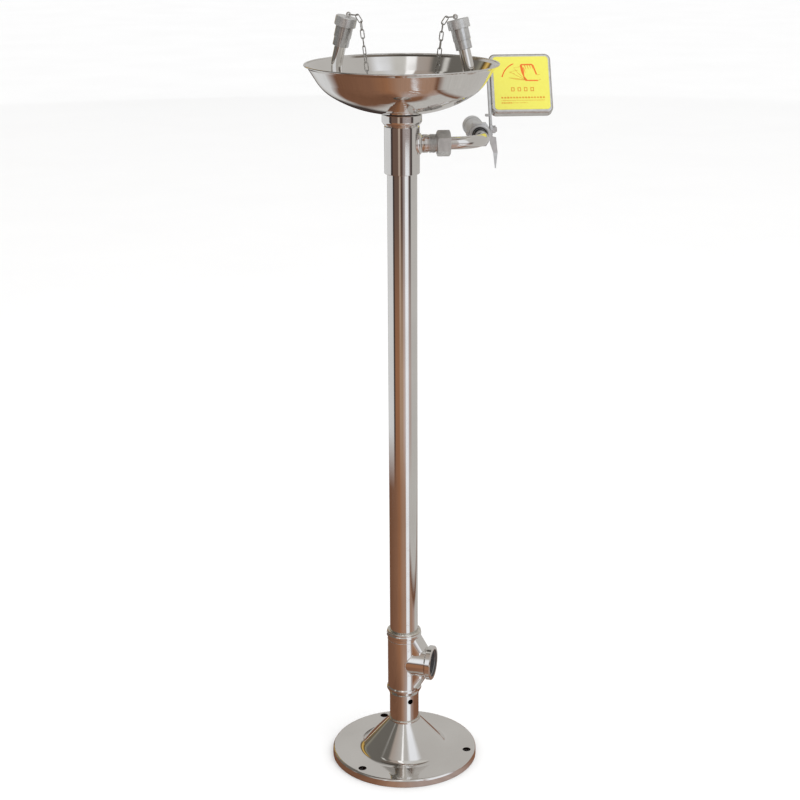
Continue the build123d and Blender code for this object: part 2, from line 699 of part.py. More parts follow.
def valve_body():
    body = turned_outline(
        (0, VALVE_SPIGOT_START), (VALVE_SPIGOT_R, VALVE_SPIGOT_START), (VALVE_SPIGOT_R, VALVE_SHOULDER),
        (VALVE_R - 0.8, VALVE_SHOULDER), (VALVE_R, VALVE_SHOULDER + 0.8), (VALVE_R, VALVE_BODY_END),
        (0, VALVE_BODY_END),
    )
    body = along_y(body, VALVE_X, BRANCH_Z)
    body += along_x(rod(BOSS_R, VALVE_X, BOSS_END), STEM_Y, BRANCH_Z)
    bore = rod(VALVE_PORT_R, VALVE_SPIGOT_START, VALVE_BODY_END)
    bore += rod(ELBOW_R + FIT, VALVE_SPIGOT_START, VALVE_SPIGOT_START + 3.7)
    bore += rod(CHAMBER_R, CHAMBER[0], CHAMBER[1])
    bore += rod(END_SPIGOT_R, CHAMBER[1], VALVE_BODY_END)
    body -= along_y(bore, VALVE_X, BRANCH_Z)
    gland = rod(STEM_R + FIT, VALVE_X, BOSS_END) + rod(PACKING_R, PACKING[0], BOSS_END)
    return body - along_x(gland, STEM_Y, BRANCH_Z)


def valve_end():
    end = turned_outline(
        (VALVE_PORT_R, CHAMBER[1]), (END_SPIGOT_R, CHAMBER[1]), (END_SPIGOT_R, VALVE_BODY_END),
        (VALVE_END_R - 0.8, VALVE_BODY_END), (VALVE_END_R, VALVE_BODY_END + 0.8),
        (VALVE_END_R, VALVE_END - 1), (VALVE_END_R - 1, VALVE_END), (INLET_THREAD_R, VALVE_END),
        (INLET_THREAD_R, VALVE_END - INLET_THREAD_LENGTH), (VALVE_PORT_R, VALVE_END - INLET_THREAD_LENGTH),
    )
    return along_y(end, VALVE_X, BRANCH_Z)


def ball_centre():
    return Pos(VALVE_X, STEM_Y, BRANCH_Z)


def valve_ball():
    """Shown shut: its port lies across the flow until the lever has turned a quarter."""
    ball = Sphere(BALL_R) - Cylinder(VALVE_PORT_R, 3 * BALL_R)
    slot = Pos(BALL_R, 0, 0) * Box(6.6, 2 * BALL_R, 3.2)
    return ball_centre() * (ball - slot)


def ball_seats():
    seats = []
    for inner, outer in ((STEM_Y - 5.4, CHAMBER[0]), (STEM_Y + 5.4, CHAMBER[1])):
        ring = tube(CHAMBER_R, VALVE_PORT_R, min(inner, outer), max(inner, outer))
        seats.append(along_y(ring, VALVE_X, BRANCH_Z) - ball_centre() * Sphere(BALL_R + 0.05))
    return seats


def valve_stem():
    tang_start = VALVE_X + BALL_R - 3.2
    tang_end = VALVE_X + BALL_R + 0.4
    stem = rod(STEM_R, tang_end, STEM_END)
    flats = Pos(0, 0, (LEVER_X + STEM_END) / 2) * Box(STEM_FLATS, 2 * STEM_R, STEM_END - LEVER_X)
    stem = (stem & rod(STEM_R, tang_end, LEVER_X)) + (stem & flats)
    tang = (rod(STEM_R, tang_start, tang_end)) & (Pos(0, 0, tang_start) * Box(3.0, 10, 10))
    return along_x(stem + tang, STEM_Y, BRANCH_Z)


def stem_packing():
    return along_x(tube(PACKING_R, STEM_R + FIT, *PACKING), STEM_Y, BRANCH_Z)


def gland_nut():
    nut = tube(PACKING_R - FIT, STEM_R + FIT, PACKING[1], BOSS_END)
    nut += hexagon(GLAND_AF, BOSS_END, GLAND_END) - rod(STEM_R + FIT, BOSS_END, GLAND_END)
    return along_x(nut, STEM_Y, BRANCH_Z)


# ---------------------------------------------------------------- lever and push plate
LEAN = math.radians(PLATE_LEAN_DEG)
PLATE_LEFT = LEVER_X + LEVER_THICKNESS
PLATE_FRAME = Plane(
    origin=(PLATE_LEFT + PLATE_WIDTH / 2, PLATE_CENTRE_Y, PLATE_CENTRE_Z),
    x_dir=(1, 0, 0),
    z_dir=(0, -math.cos(LEAN), math.sin(LEAN)),
)


def strip_point(distance, offset=0.0):
    """Y and Z of a point on the lever's strip: along its middle line from the plate's lower edge."""
    up = distance - PLATE_HEIGHT / 2
    back = PLATE_DEPTH / 2 + offset
    y = PLATE_CENTRE_Y + up * math.sin(LEAN) + back * math.cos(LEAN)
    z = PLATE_CENTRE_Z + up * math.cos(LEAN) - back * math.sin(LEAN)
    return y, z


def stem_hole():
    return along_x(
        Pos(0, 0, LEVER_X + LEVER_THICKNESS / 2) * Box(STEM_FLATS, 2 * STEM_R, 2 * LEVER_THICKNESS)
        & rod(STEM_R, LEVER_X - LEVER_THICKNESS, LEVER_X + 2 * LEVER_THICKNESS),
        STEM_Y,
        BRANCH_Z,
    )


def lever_blade():
    """The flat of the lever, cut from plate that lies square to the stem."""
    half = LEVER_STRIP_WIDTH / 2
    arm = Polyline(
        (STEM_Y - 8, BRANCH_Z), (STEM_Y - 5, BRANCH_Z + 12), strip_point(-2, -half),
        strip_point(LEVER_STRIP_LENGTH - 3, -half), strip_point(LEVER_STRIP_LENGTH, -half + 3),
        strip_point(LEVER_STRIP_LENGTH, half - 3), strip_point(LEVER_STRIP_LENGTH - 3, half),
        strip_point(-2, half), (STEM_Y + 9, BRANCH_Z + 6), (STEM_Y + 9, BRANCH_Z), close=True,
    )
    foot = Polyline(
        (TAIL_Y, BRANCH_Z), (STEM_Y, BRANCH_Z), (STEM_Y, BRANCH_Z - 10), (TAIL_Y + 5, BRANCH_Z - 20),
        (TAIL_Y, BRANCH_Z - 20), close=True,
    )
    face = make_face(arm) + make_face(foot) + Pos(STEM_Y, BRANCH_Z) * Circle(LEVER_HUB_R)
    return Pos(LEVER_X, 0, 0) * extrude(Plane.YZ * face, LEVER_THICKNESS)


def lever_tail():
    """The finger tail under the hub: a flange folded outward, then creased and cut to a point."""
    upper = Polyline(
        (LEVER_X, BRANCH_Z - 8), (LEVER_X + 8.2, BRANCH_Z - 10), (LEVER_X + 10.8, TAIL_FOLD_Z),
        (LEVER_X + 4.4, TAIL_FOLD_Z), (LEVER_X, BRANCH_Z - 20), close=True,
    )
    lower = Polyline(
        (LEVER_X + 4.4, 0.6), (LEVER_X + 10.8, 0.6), (LEVER_X + 7.4, -22.5), (LEVER_X + 6.2, -22.5),
        close=True,
    )
    flange = Pos(0, TAIL_Y + TAIL_THICKNESS, 0) * extrude(Plane.XZ * make_face(upper), TAIL_THICKNESS)
    point = Pos(0, TAIL_THICKNESS, 0) * extrude(Plane.XZ * make_face(lower), TAIL_THICKNESS)
    return flange + Pos(0, TAIL_Y, TAIL_FOLD_Z) * Rot(-TAIL_FOLD_DEG, 0, 0) * point


def stop_tab():
    """The small tab folded off the lever towards the valve."""
    y, z = strip_point(-1.5, -3)
    return Pos(LEVER_X - 2.8, y - 1, z) * Box(6.4, 8, 3)


def rivet_holes(radius):
    holes = []
    for place in RIVET_PLACES:
        y, z = strip_point(place)
        holes.append(along_x(rod(radius, LEVER_X, PLATE_LEFT + 2 * SHEET), y, z))
        holes.append(along_x(countersink(), y, z))
    return holes


def countersink():
    return turned_outline(
        (0, LEVER_X), (RIVET_HEAD_R, LEVER_X), (RIVET_R, LEVER_X + RIVET_HEAD_R - RIVET_R),
        (0, LEVER_X + RIVET_HEAD_R - RIVET_R),
    )


def lever():
    return lever_blade() + lever_tail() + stop_tab() - stem_hole() - rivet_holes(RIVET_R)


def lever_washer():
    start = LEVER_X + LEVER_THICKNESS
    return along_x(tube(WASHER_R, STEM_R + FIT, start, start + WASHER_THICKNESS), STEM_Y, BRANCH_Z)


def stem_nut():
    start = LEVER_X + LEVER_THICKNESS + WASHER_THICKNESS
    end = start + STEM_NUT_THICKNESS
    nut = hexagon(STEM_NUT_AF, start, end) - rod(STEM_R, start, end)
    return along_x(nut, STEM_Y, BRANCH_Z)


def push_plate():
    """A shallow pressed pan, open at the back."""
    pan = extrude(RectangleRounded(PLATE_WIDTH, PLATE_HEIGHT, PLATE_CORNER_R), -PLATE_DEPTH)
    pan = fillet(pan.faces().sort_by(Axis.Z)[-1].edges(), PLATE_EDGE_R)
    inner_w = PLATE_WIDTH - 2 * SHEET
    inner_h = PLATE_HEIGHT - 2 * SHEET
    hollow = extrude(RectangleRounded(inner_w, inner_h, PLATE_CORNER_R - SHEET), -PLATE_DEPTH)
    hollow = fillet(hollow.faces().sort_by(Axis.Z)[-1].edges(), PLATE_EDGE_R - SHEET)
    pan -= Pos(0, 0, -SHEET) * hollow
    return PLATE_FRAME * pan - rivet_holes(RIVET_R)


def push_plate_label():
    sheet = extrude(RectangleRounded(LABEL_WIDTH, LABEL_HEIGHT, LABEL_CORNER_R), LABEL_THICKNESS)
    return PLATE_FRAME * Pos(LABEL_SHIFT, 0, 0) * sheet


def plate_rivets():
    rivets = []
    for place in RIVET_PLACES:
        y, z = strip_point(place)
        end = PLATE_LEFT + SHEET
        body = countersink() + rod(RIVET_R, LEVER_X, end) + rod(RIVET_HEAD_R - 0.3, end, end + 1.4)
        rivets.append(along_x(body, y, z))
    return rivets


# ---------------------------------------------------------------- write every node
CENTRE_PARTS = {
    "base_flange": base_flange,
    "lower_stub": lower_stub,
    "drain_tee": drain_tee,
    "column_tube": column_tube,
    "upper_body": upper_body,
    "side_nipple": side_nipple,
    "union_nut": union_nut,
    "union_seal": union_seal,
    "union_tail_flange": union_tail_flange,
    "elbow_tube": elbow_tube,
    "riser_tube": riser_tube,
    "manifold": manifold,
    "bowl": bowl,
    "bowl_seal": bowl_seal,
    "strainer_seal": strainer_seal,
    "drain_tailpiece": drain_tailpiece,
    "strainer_plate": strainer_plate,
    "strainer_screws": strainer_screws,
    "compression_nut": compression_nut,
    "compression_ring": compression_ring,
    "valve_body": valve_body,
    "valve_end": valve_end,
    "valve_ball": valve_ball,
    "ball_seats": ball_seats,
    "valve_stem": valve_stem,
    "stem_packing": stem_packing,
    "gland_nut": gland_nut,
    "lever": lever,
    "lever_washer": lever_washer,
    "stem_nut": stem_nut,
    "push_plate": push_plate,
    "push_plate_label": push_plate_label,
    "plate_rivets": plate_rivets,
}
SIDE_PARTS = {
    "nozzle_arm": nozzle_arm,
    "nozzle_sleeve": nozzle_sleeve,
    "nozzle_head": nozzle_head,
    "spray_insert": spray_insert,
    "dust_cap": dust_cap,
    "cap_seal": cap_seal,
    "cap_eye": cap_eye,
    "chain": chain,
    "chain_clip": chain_clip,
}


def write_node(name, shape):
    pieces = shape if isinstance(shape, list) else [shape]
    solids = [solid for piece in pieces for solid in piece.solids()]
    export_step(Compound(solids) if len(solids) > 1 else solids[0], f"parts/{name}.step")


os.makedirs("parts", exist_ok=True)
for node, make in CENTRE_PARTS.items():
    write_node(node, make())
for node, make in SIDE_PARTS.items():
    drawn = make()
    for side, bearing in SIDES.items():
        if isinstance(drawn, list):
            write_node(f"{side}_{node}", [Rot(0, 0, bearing) * piece for piece in drawn])
        else:
            write_node(f"{side}_{node}", Rot(0, 0, bearing) * drawn)
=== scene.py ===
import json
import math
import random

import bmesh
import bpy
from mathutils import Matrix, Vector


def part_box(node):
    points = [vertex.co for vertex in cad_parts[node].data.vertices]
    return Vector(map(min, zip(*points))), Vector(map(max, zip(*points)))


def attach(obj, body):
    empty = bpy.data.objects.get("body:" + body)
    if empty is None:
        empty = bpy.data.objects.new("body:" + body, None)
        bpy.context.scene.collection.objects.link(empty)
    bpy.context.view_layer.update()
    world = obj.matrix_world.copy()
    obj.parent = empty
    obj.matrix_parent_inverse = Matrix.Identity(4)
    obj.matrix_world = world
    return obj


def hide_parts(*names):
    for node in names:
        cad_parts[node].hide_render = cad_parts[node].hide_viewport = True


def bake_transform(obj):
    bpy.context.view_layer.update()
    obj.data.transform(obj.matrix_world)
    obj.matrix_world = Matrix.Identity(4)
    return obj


# Looks for the pedestal eyewash. Metres, in the CAD's frame: the column stands on +Z,
# the upper water branch points along +X, and the valve points along +Y.

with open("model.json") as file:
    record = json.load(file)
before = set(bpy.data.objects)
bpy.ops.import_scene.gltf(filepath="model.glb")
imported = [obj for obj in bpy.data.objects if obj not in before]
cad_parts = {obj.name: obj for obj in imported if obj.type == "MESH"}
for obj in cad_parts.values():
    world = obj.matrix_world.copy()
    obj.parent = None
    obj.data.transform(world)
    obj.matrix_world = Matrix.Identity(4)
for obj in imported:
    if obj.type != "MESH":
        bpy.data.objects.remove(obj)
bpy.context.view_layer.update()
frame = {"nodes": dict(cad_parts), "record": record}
MM = 0.001
UP = Vector((0, 0, 1))
SIDES = ("left", "right")
MOUNTS = {mount["name"]: mount for mount in frame["record"]["mounts"]}


# ---------------------------------------------------------------- camera
CAMERA_PLACE = Vector((-0.1752, -2.3249, 1.3131))
CAMERA_TURN_DEG = 4.2           # the view's heading, from +Y towards +X
CAMERA_DIP_DEG = 17.568
CAMERA_ROLL_DEG = 0.265
LENS_MM = 75.37
SENSOR_MM = 36.0


def make_camera():
    turn, dip, roll = (math.radians(a) for a in (CAMERA_TURN_DEG, CAMERA_DIP_DEG, CAMERA_ROLL_DEG))
    forward = Vector((math.sin(turn) * math.cos(dip), math.cos(turn) * math.cos(dip), -math.sin(dip)))
    level = Vector((math.cos(turn), -math.sin(turn), 0))
    down = forward.cross(level)
    right = math.cos(roll) * level + math.sin(roll) * down
    up = -(math.cos(roll) * down - math.sin(roll) * level)
    camera = bpy.data.objects.new("camera", bpy.data.cameras.new("camera"))
    camera.data.lens = LENS_MM
    camera.data.sensor_width = SENSOR_MM
    facing = Matrix((right, up, -forward)).transposed().to_4x4()
    camera.matrix_world = Matrix.Translation(CAMERA_PLACE) @ facing
    bpy.context.scene.collection.objects.link(camera)
    bpy.context.scene.camera = camera


# ---------------------------------------------------------------- material building blocks
class Recipe:
    """A material being put together, with short-hand for its pattern nodes."""

    def __init__(self, name):
        self.material = bpy.data.materials.new(name)
        self.material.use_nodes = True
        self.tree = self.material.node_tree

    def add(self, kind, inputs=(), **settings):
        """A node with its settings, and its inputs given as values or as sockets to link from."""
        node = self.tree.nodes.new("ShaderNode" + kind)
        for name, value in settings.items():
            setattr(node, name, value)
        for name, value in dict(inputs).items():
            if isinstance(value, bpy.types.NodeSocket):
                self.tree.links.new(value, node.inputs[name])
            else:
                node.inputs[name].default_value = value
        return node

    def place(self):
        return self.add("TexCoord").outputs["Object"]

    def maths(self, operation, a, b=0.0):
        return self.add("Math", {0: a, 1: b}, operation=operation).outputs[0]

    def noise(self, scale, detail=2.0, stretch=None):
        place = self.place()
        if stretch:
            place = self.add("Mapping", {"Vector": place, "Scale": stretch}).outputs[0]
        return self.add("TexNoise", {"Vector": place, "Scale": scale, "Detail": detail}).outputs["Fac"]

    def lines(self, distance, scale):
        """Fine marks that vary with one distance only, such as a lathe leaves."""
        return self.add(
            "TexNoise", {"W": distance, "Scale": scale, "Detail": 3.0}, noise_dimensions="1D"
        ).outputs["Fac"]

    def dot(self, vector, axis):
        return self.add("VectorMath", {0: vector, 1: tuple(axis)}, operation="DOT_PRODUCT").outputs["Value"]

    def along(self, axis):
        """Distance from the origin, measured along an axis."""
        return self.dot(self.place(), axis)

    def from_axis(self):
        """Distance from the column's axis."""
        flat = self.add("VectorMath", {0: self.place(), 1: (1, 1, 0)}, operation="MULTIPLY").outputs[0]
        return self.add("VectorMath", {0: flat}, operation="LENGTH").outputs["Value"]

    def from_line(self, point, axis):
        """Distance from the line through a point along an axis."""
        offset = self.add("VectorMath", {0: self.place(), 1: tuple(point)}, operation="SUBTRACT").outputs[0]
        across = self.add("VectorMath", {0: offset, 1: tuple(axis)}, operation="CROSS_PRODUCT").outputs[0]
        return self.add("VectorMath", {0: across}, operation="LENGTH").outputs["Value"]

    def blend(self, share, a, b):
        """Colour a where share is 0 and colour b where it is 1."""
        node = self.add("Mix", {"Factor": share}, data_type="RGBA")
        for socket, colour in ((node.inputs[6], a), (node.inputs[7], b)):
            if isinstance(colour, bpy.types.NodeSocket):
                self.tree.links.new(colour, socket)
            else:
                socket.default_value = (*colour, 1)
        return node.outputs[2]

    def spread(self, value, low, high, start=0.3, end=0.7):
        """Runs from low to high while value runs from start to end, and stays level outside them."""
        return self.add(
            "MapRange", {"Value": value, "From Min": start, "From Max": end, "To Min": low, "To Max": high}
        ).outputs[0]

    def fade(self, value, span, a, b):
        """Colour a that gives way to colour b while value runs over a span."""
        return self.blend(self.spread(value, 0, 1, *span), a, b)

    def ramp(self, value, stops):
        """Colours over 0 to 1, from (place, colour) stops."""
        node = self.add("ValToRGB", {"Fac": value})
        elements = node.color_ramp.elements
        while len(elements) < len(stops):
            elements.new(0.5)
        for element, (place, colour) in zip(elements, stops):
            element.position = place
            element.color = (*colour, 1)
        return node.outputs["Color"]

    def bump(self, height, strength, distance, before=None):
        inputs = {"Height": height, "Strength": strength, "Distance": distance}
        if before:
            inputs["Normal"] = before
        return self.add("Bump", inputs).outputs[0]

    def surface(self, **sockets):
        """Sets the Principled shader's sockets by name, with spaces written as underscores."""
        shader = self.tree.nodes["Principled BSDF"]
        for name, value in sockets.items():
            socket = shader.inputs[name.replace("_", " ")]
            if isinstance(value, bpy.types.NodeSocket):
                self.tree.links.new(value, socket)
            else:
                socket.default_value = value
        return self.material


# ---------------------------------------------------------------- materials
STEEL_BRIGHT = (0.82, 0.805, 0.785)
STEEL_DULL = (0.74, 0.72, 0.70)
# Near-black and rough: painted shade for a dished plate's underside and inner rim.
DISH_SHADE = (0.03, 0.03, 0.03)
DISH_SHADE_ROUGHNESS = 0.6
BORE_ROUGHNESS = 0.42
NEARLY_UPRIGHT = 0.2            # a face's normal rises or falls by less than this
RIM_SKIN = 0.8 * MM             # faces this near to the rim's radius count as its outside


def painted_shade_faces(recipe, rim_radius, rim_height):
    """1 where painted shade goes: on the underside of a dished plate and on the inside of its rim, and 0
    elsewhere.
    """
    facing = recipe.dot(recipe.add("NewGeometry").outputs["Normal"], UP)
    underside = recipe.maths("LESS_THAN", facing, -NEARLY_UPRIGHT)
    upright = recipe.maths("LESS_THAN", facing, NEARLY_UPRIGHT)
    within = recipe.maths("LESS_THAN", recipe.from_axis(), rim_radius - RIM_SKIN)
    low = recipe.maths("LESS_THAN", recipe.along(UP), rim_height)
    inner_rim = recipe.maths("MULTIPLY", upright, recipe.maths("MULTIPLY", within, low))
    return recipe.maths("MAXIMUM", inner_rim, underside)


def polished_steel(name, marks, wave=0.0, bores=(), dish_rim=None):
    """Mirror-polished stainless steel. marks says which way the polishing lines run.

    bores lists (point, axis, radius, colour): inside each, the metal is dull and has that colour; a
    near-black colour there is painted shade.
    dish_rim gives the radius and height of a dished plate's rim. The plate's underside and inner rim are then
    painted near-black and rough, as painted shade.
    """
    recipe = Recipe(name)
    haze = recipe.noise(9.0, 4.0)
    cloud = recipe.noise(38.0, 5.0)
    if marks == "lengthwise":
        fine = recipe.noise(900.0, 2.0, stretch=(1.0, 1.0, 0.01))
    elif marks == "rings":
        fine = recipe.lines(recipe.from_axis(), 1400.0)
    else:
        fine = recipe.noise(700.0, 2.0)
    colour = recipe.ramp(haze, ((0.35, STEEL_BRIGHT), (0.75, STEEL_DULL)))
    roughness = recipe.maths("ADD", recipe.spread(cloud, 0.045, 0.085), recipe.spread(fine, -0.012, 0.02))
    normal = recipe.bump(fine, 0.10, 0.00002)
    if wave:
        normal = recipe.bump(recipe.noise(26.0, 2.0), wave, 0.0006, normal)
    # Each bore's colour is laid on inside it; a near-black one is painted shade.
    for point, axis, radius, dull in bores:
        inside = recipe.maths("LESS_THAN", recipe.from_line(point, axis), radius)
        inside = recipe.maths("MULTIPLY", inside, recipe.maths("GREATER_THAN", recipe.along(axis), 0.0))
        colour = recipe.blend(inside, colour, dull)
        roughness = recipe.maths("MAXIMUM", roughness, recipe.maths("MULTIPLY", inside, BORE_ROUGHNESS))
    # Painted shade on the plate's underside and on the inside of its rim.
    if dish_rim:
        painted_shade_mask = painted_shade_faces(recipe, *dish_rim)
        colour = recipe.blend(painted_shade_mask, colour, DISH_SHADE)
        roughness = recipe.maths("MAXIMUM", roughness, recipe.maths("MULTIPLY", painted_shade_mask, DISH_SHADE_ROUGHNESS))
    return recipe.surface(Base_Color=colour, Metallic=1.0, Roughness=roughness, Normal=normal)


def satin_steel(
    name, bright=(0.60, 0.595, 0.58), dull=(0.43, 0.425, 0.415), rough=(0.26, 0.40), grain=0.35, metallic=0.66
):
    """Cast or machined stainless steel with a soft grey sheen. What isn't metallic scatters light evenly."""
    recipe = Recipe(name)
    cloud = recipe.noise(120.0, 5.0)
    pits = recipe.noise(1900.0, 3.0)
    colour = recipe.ramp(cloud, ((0.3, bright), (0.7, dull)))
    roughness = recipe.spread(cloud, *rough)
    normal = recipe.bump(pits, grain, 0.00006)
    return recipe.surface(Base_Color=colour, Metallic=metallic, Roughness=roughness, Normal=normal)


TURNED_BRIGHT = (0.66, 0.66, 0.655)
TURNED_DULL = (0.52, 0.52, 0.515)


def turned_steel(name, axis, rough, metallic):
    """Machined steel with the fine rings that a lathe leaves round an axis."""
    recipe = Recipe(name)
    rings = recipe.lines(recipe.along(axis), 2600.0)
    cloud = recipe.noise(160.0, 4.0)
    colour = recipe.ramp(cloud, ((0.3, TURNED_BRIGHT), (0.72, TURNED_DULL)))
    roughness = recipe.maths("ADD", recipe.spread(cloud, *rough), recipe.spread(rings, -0.03, 0.05))
    normal = recipe.bump(rings, 0.25, 0.00004)
    return recipe.surface(Base_Color=colour, Metallic=metallic, Roughness=roughness, Normal=normal)


def chain_steel():
    """Bright drawn wire with a mottled sheen."""
    recipe = Recipe("chain_steel")
    cloud = recipe.noise(500.0, 4.0)
    colour = recipe.ramp(cloud, ((0.35, (0.62, 0.61, 0.59)), (0.65, (0.34, 0.33, 0.31))))
    normal = recipe.bump(recipe.noise(2600.0, 2.0), 0.3, 0.00005)
    return recipe.surface(
        Base_Color=colour, Metallic=1.0, Roughness=recipe.spread(cloud, 0.18, 0.34), Normal=normal
    )


WELD_BRIGHT = (0.86, 0.85, 0.83)
WELD_STRAW = (0.70, 0.66, 0.58)
WELD_GREY = (0.46, 0.42, 0.38)


def weld_metal():
    """Bright weld bead, with the straw and grey tint that heat leaves."""
    recipe = Recipe("weld_metal")
    tint = recipe.noise(170.0, 4.0)
    colour = recipe.ramp(tint, ((0.3, WELD_BRIGHT), (0.62, WELD_STRAW), (0.8, WELD_GREY)))
    normal = recipe.bump(recipe.noise(900.0, 3.0), 0.4, 0.00012)
    return recipe.surface(
        Base_Color=colour, Metallic=1.0, Roughness=recipe.spread(tint, 0.12, 0.3), Normal=normal
    )


def matte(name, light, dark, rough, scale, grain):
    """A moulded or rubber surface with a fine grain."""
    recipe = Recipe(name)
    cloud = recipe.noise(scale, 4.0)
    colour = recipe.ramp(cloud, ((0.3, light), (0.7, dark)))
    normal = recipe.bump(recipe.noise(scale * 9, 2.0), grain, 0.00008)
    return recipe.surface(Base_Color=colour, Roughness=recipe.spread(cloud, *rough), Normal=normal)


def printed_vinyl(name, light, dark):
    """Glossy printed film: faint mottling in the ink and a smooth clear face."""
    recipe = Recipe(name)
    mottle = recipe.noise(240.0, 5.0)
    colour = recipe.ramp(mottle, ((0.3, light), (0.7, dark)))
    roughness = recipe.spread(mottle, 0.32, 0.45)
    normal = recipe.bump(recipe.noise(1500.0, 2.0), 0.12, 0.00003)
    return recipe.surface(Base_Color=colour, Roughness=roughness, Normal=normal, Specular_IOR_Level=0.35)


# ---------------------------------------------------------------- studio
ROOM_RADIUS = 8.0
STEEL_SHARE = 0.80              # how much of what it mirrors the steel gives back


def seen(red, green, blue):
    """The room's colour that the steel gives back as this display colour, 0 to 255."""
    return tuple((((c / 255 + 0.055) / 1.055) ** 2.4) / STEEL_SHARE for c in (red, green, blue))


WALL = seen(176, 174, 171)
WALL_LEFT = seen(201, 202, 203)
EDGE = seen(58, 49, 46)
WINDOW = seen(226, 229, 234)
WOOD_DARK = seen(108, 76, 58)
WOOD_NEAR = seen(124, 89, 69)
WOOD_WARM = seen(141, 99, 72)
WOOD_FAR = seen(100, 81, 71)
WOOD_DEEP = seen(82, 64, 57)
GLEAM_NEAR = seen(151, 120, 101)
GLEAM_WARM = seen(160, 133, 111)
GLEAM_FAR = seen(171, 155, 142)
HAZE_NEAR = seen(160, 143, 136)
HAZE_WARM = seen(183, 166, 161)
HAZE_FAR = seen(149, 139, 137)
HAZE_DUSK = seen(154, 123, 104)
PANEL = seen(98, 95, 90)
GILT_DARK = seen(66, 50, 24)
GILT = seen(205, 170, 96)
LAMP = seen(250, 251, 252)
SHELF_DARK = seen(74, 70, 65)
SHELF = seen(98, 91, 84)
SHELF_MID = seen(124, 116, 108)
SHELF_LIGHT = seen(156, 146, 138)
SHELF_PALE = seen(134, 131, 117)
CEILING = seen(192, 191, 187)

# What the steel mirrors at four distances over the floor, by bearing: 0 is towards the camera,
# and bearings grow to the right as the camera sees it.
FLOOR_FOOT = (
    (-180, WOOD_DARK), (-60, WOOD_DARK), (-25, WOOD_NEAR), (-8, GLEAM_NEAR), (12, HAZE_NEAR),
    (50, HAZE_NEAR), (80, WOOD_NEAR), (180, WOOD_DARK),
)
FLOOR_NEAR = (
    (-180, WALL), (-172, WALL), (-163, WOOD_DARK), (-120, WOOD_DARK), (-60, WOOD_NEAR), (-30, WOOD_WARM),
    (-5, GLEAM_NEAR), (14, HAZE_DUSK), (45, HAZE_DUSK), (60, GLEAM_NEAR), (92, HAZE_NEAR), (101, WALL),
    (180, WALL),
)
FLOOR_WARM = (
    (-180, EDGE), (-168, EDGE), (-162, WALL), (-150, WALL_LEFT), (-80, WALL_LEFT), (-74, EDGE), (-66, EDGE),
    (-60, WOOD_WARM), (-30, WOOD_WARM), (-22, GLEAM_WARM), (-2, GLEAM_WARM), (12, HAZE_WARM), (50, HAZE_WARM),
    (60, HAZE_NEAR), (74, WALL), (180, WALL),
)
FLOOR_FAR = (
    (-180, EDGE), (-168, EDGE), (-162, WALL), (-150, WALL_LEFT), (-80, WALL_LEFT), (-75, EDGE), (-66, EDGE),
    (-60, WOOD_FAR), (-27, WOOD_FAR), (-22, GLEAM_FAR), (-15, GLEAM_FAR), (-10, WOOD_DEEP), (0, WOOD_DEEP),
    (9, HAZE_FAR), (50, HAZE_FAR), (57, EDGE), (64, EDGE), (71, WALL), (180, WALL),
)
NEAR_SPAN = (0.26, 0.42)        # metres from the column over which each distance takes over
WARM_SPAN = (1.20, 1.60)
FAR_SPAN = (2.2, 4.2)
WOOD_END_SPAN = (0.55, 0.60)    # metres to the right over which the wood ends and the wall begins
WALL_FOOT_SPAN = (0.62, 0.74)


def by_bearing(recipe, bearing, stops):
    """The colour stops over a bearing given as a share of the full turn."""
    return recipe.ramp(bearing, [(place / 360 + 0.5, colour) for place, colour in stops])


def towards_camera(recipe):
    """Bearing round the column, as a share of the full turn, with where the point lies to the right."""
    turn = math.radians(CAMERA_TURN_DEG)
    right = recipe.along((math.cos(turn), -math.sin(turn), 0))
    front = recipe.along((-math.sin(turn), -math.cos(turn), 0))
    angle = recipe.maths("ARCTAN2", right, front)
    share = recipe.maths("ADD", recipe.maths("DIVIDE", angle, 2 * math.pi), 0.5)
    return share, right


def glowing(recipe, colour, strength=1.0):
    """The recipe's material, made to give off light."""
    glow = recipe.add("Emission", {"Color": colour, "Strength": strength})
    output = recipe.tree.nodes["Material Output"]
    recipe.tree.links.new(glow.outputs[0], output.inputs["Surface"])
    return recipe.material


def floor_glow():
    recipe = Recipe("room_floor")
    bearing, right = towards_camera(recipe)
    distance = recipe.from_axis()
    planks = recipe.noise(7.0, 4.0, stretch=(9.0, 1.0, 1.0))
    colour = by_bearing(recipe, bearing, FLOOR_FOOT)
    colour = recipe.fade(distance, NEAR_SPAN, colour, by_bearing(recipe, bearing, FLOOR_NEAR))
    colour = recipe.fade(right, WOOD_END_SPAN, colour, WOOD_DARK)
    colour = recipe.fade(right, WALL_FOOT_SPAN, colour, WALL)
    colour = recipe.fade(distance, WARM_SPAN, colour, by_bearing(recipe, bearing, FLOOR_WARM))
    colour = recipe.fade(distance, FAR_SPAN, colour, by_bearing(recipe, bearing, FLOOR_FAR))
    return glowing(recipe, colour, recipe.spread(planks, 0.90, 1.10))


# The same for the room's walls and ceiling, from the horizon upwards.
HORIZON = (
    (-180, EDGE), (-168, EDGE), (-162, WALL), (-155, WALL), (-152, GILT_DARK), (-148, GILT),
    (-145, GILT_DARK), (-141, PANEL), (-84, PANEL), (-80, WALL_LEFT), (-75, EDGE), (-66, EDGE),
    (-60, WOOD_FAR), (-27, WOOD_FAR), (-22, GLEAM_FAR), (-15, GLEAM_FAR), (-10, WOOD_DEEP), (0, WOOD_DEEP),
    (9, HAZE_FAR), (50, HAZE_FAR), (57, EDGE), (64, EDGE), (71, WALL), (180, WALL),
)
LOW_WALLS = (
    (-180, WALL), (-158, WALL), (-153, GILT_DARK), (-146, GILT), (-138, GILT_DARK), (-134, SHELF_PALE),
    (-126, PANEL), (-62, PANEL), (-50, WALL), (-33, WALL), (-32, WINDOW), (-28, WINDOW),
    (-27, WALL), (16, WALL), (20, WINDOW), (48, WINDOW), (54, WALL), (180, WALL),
)
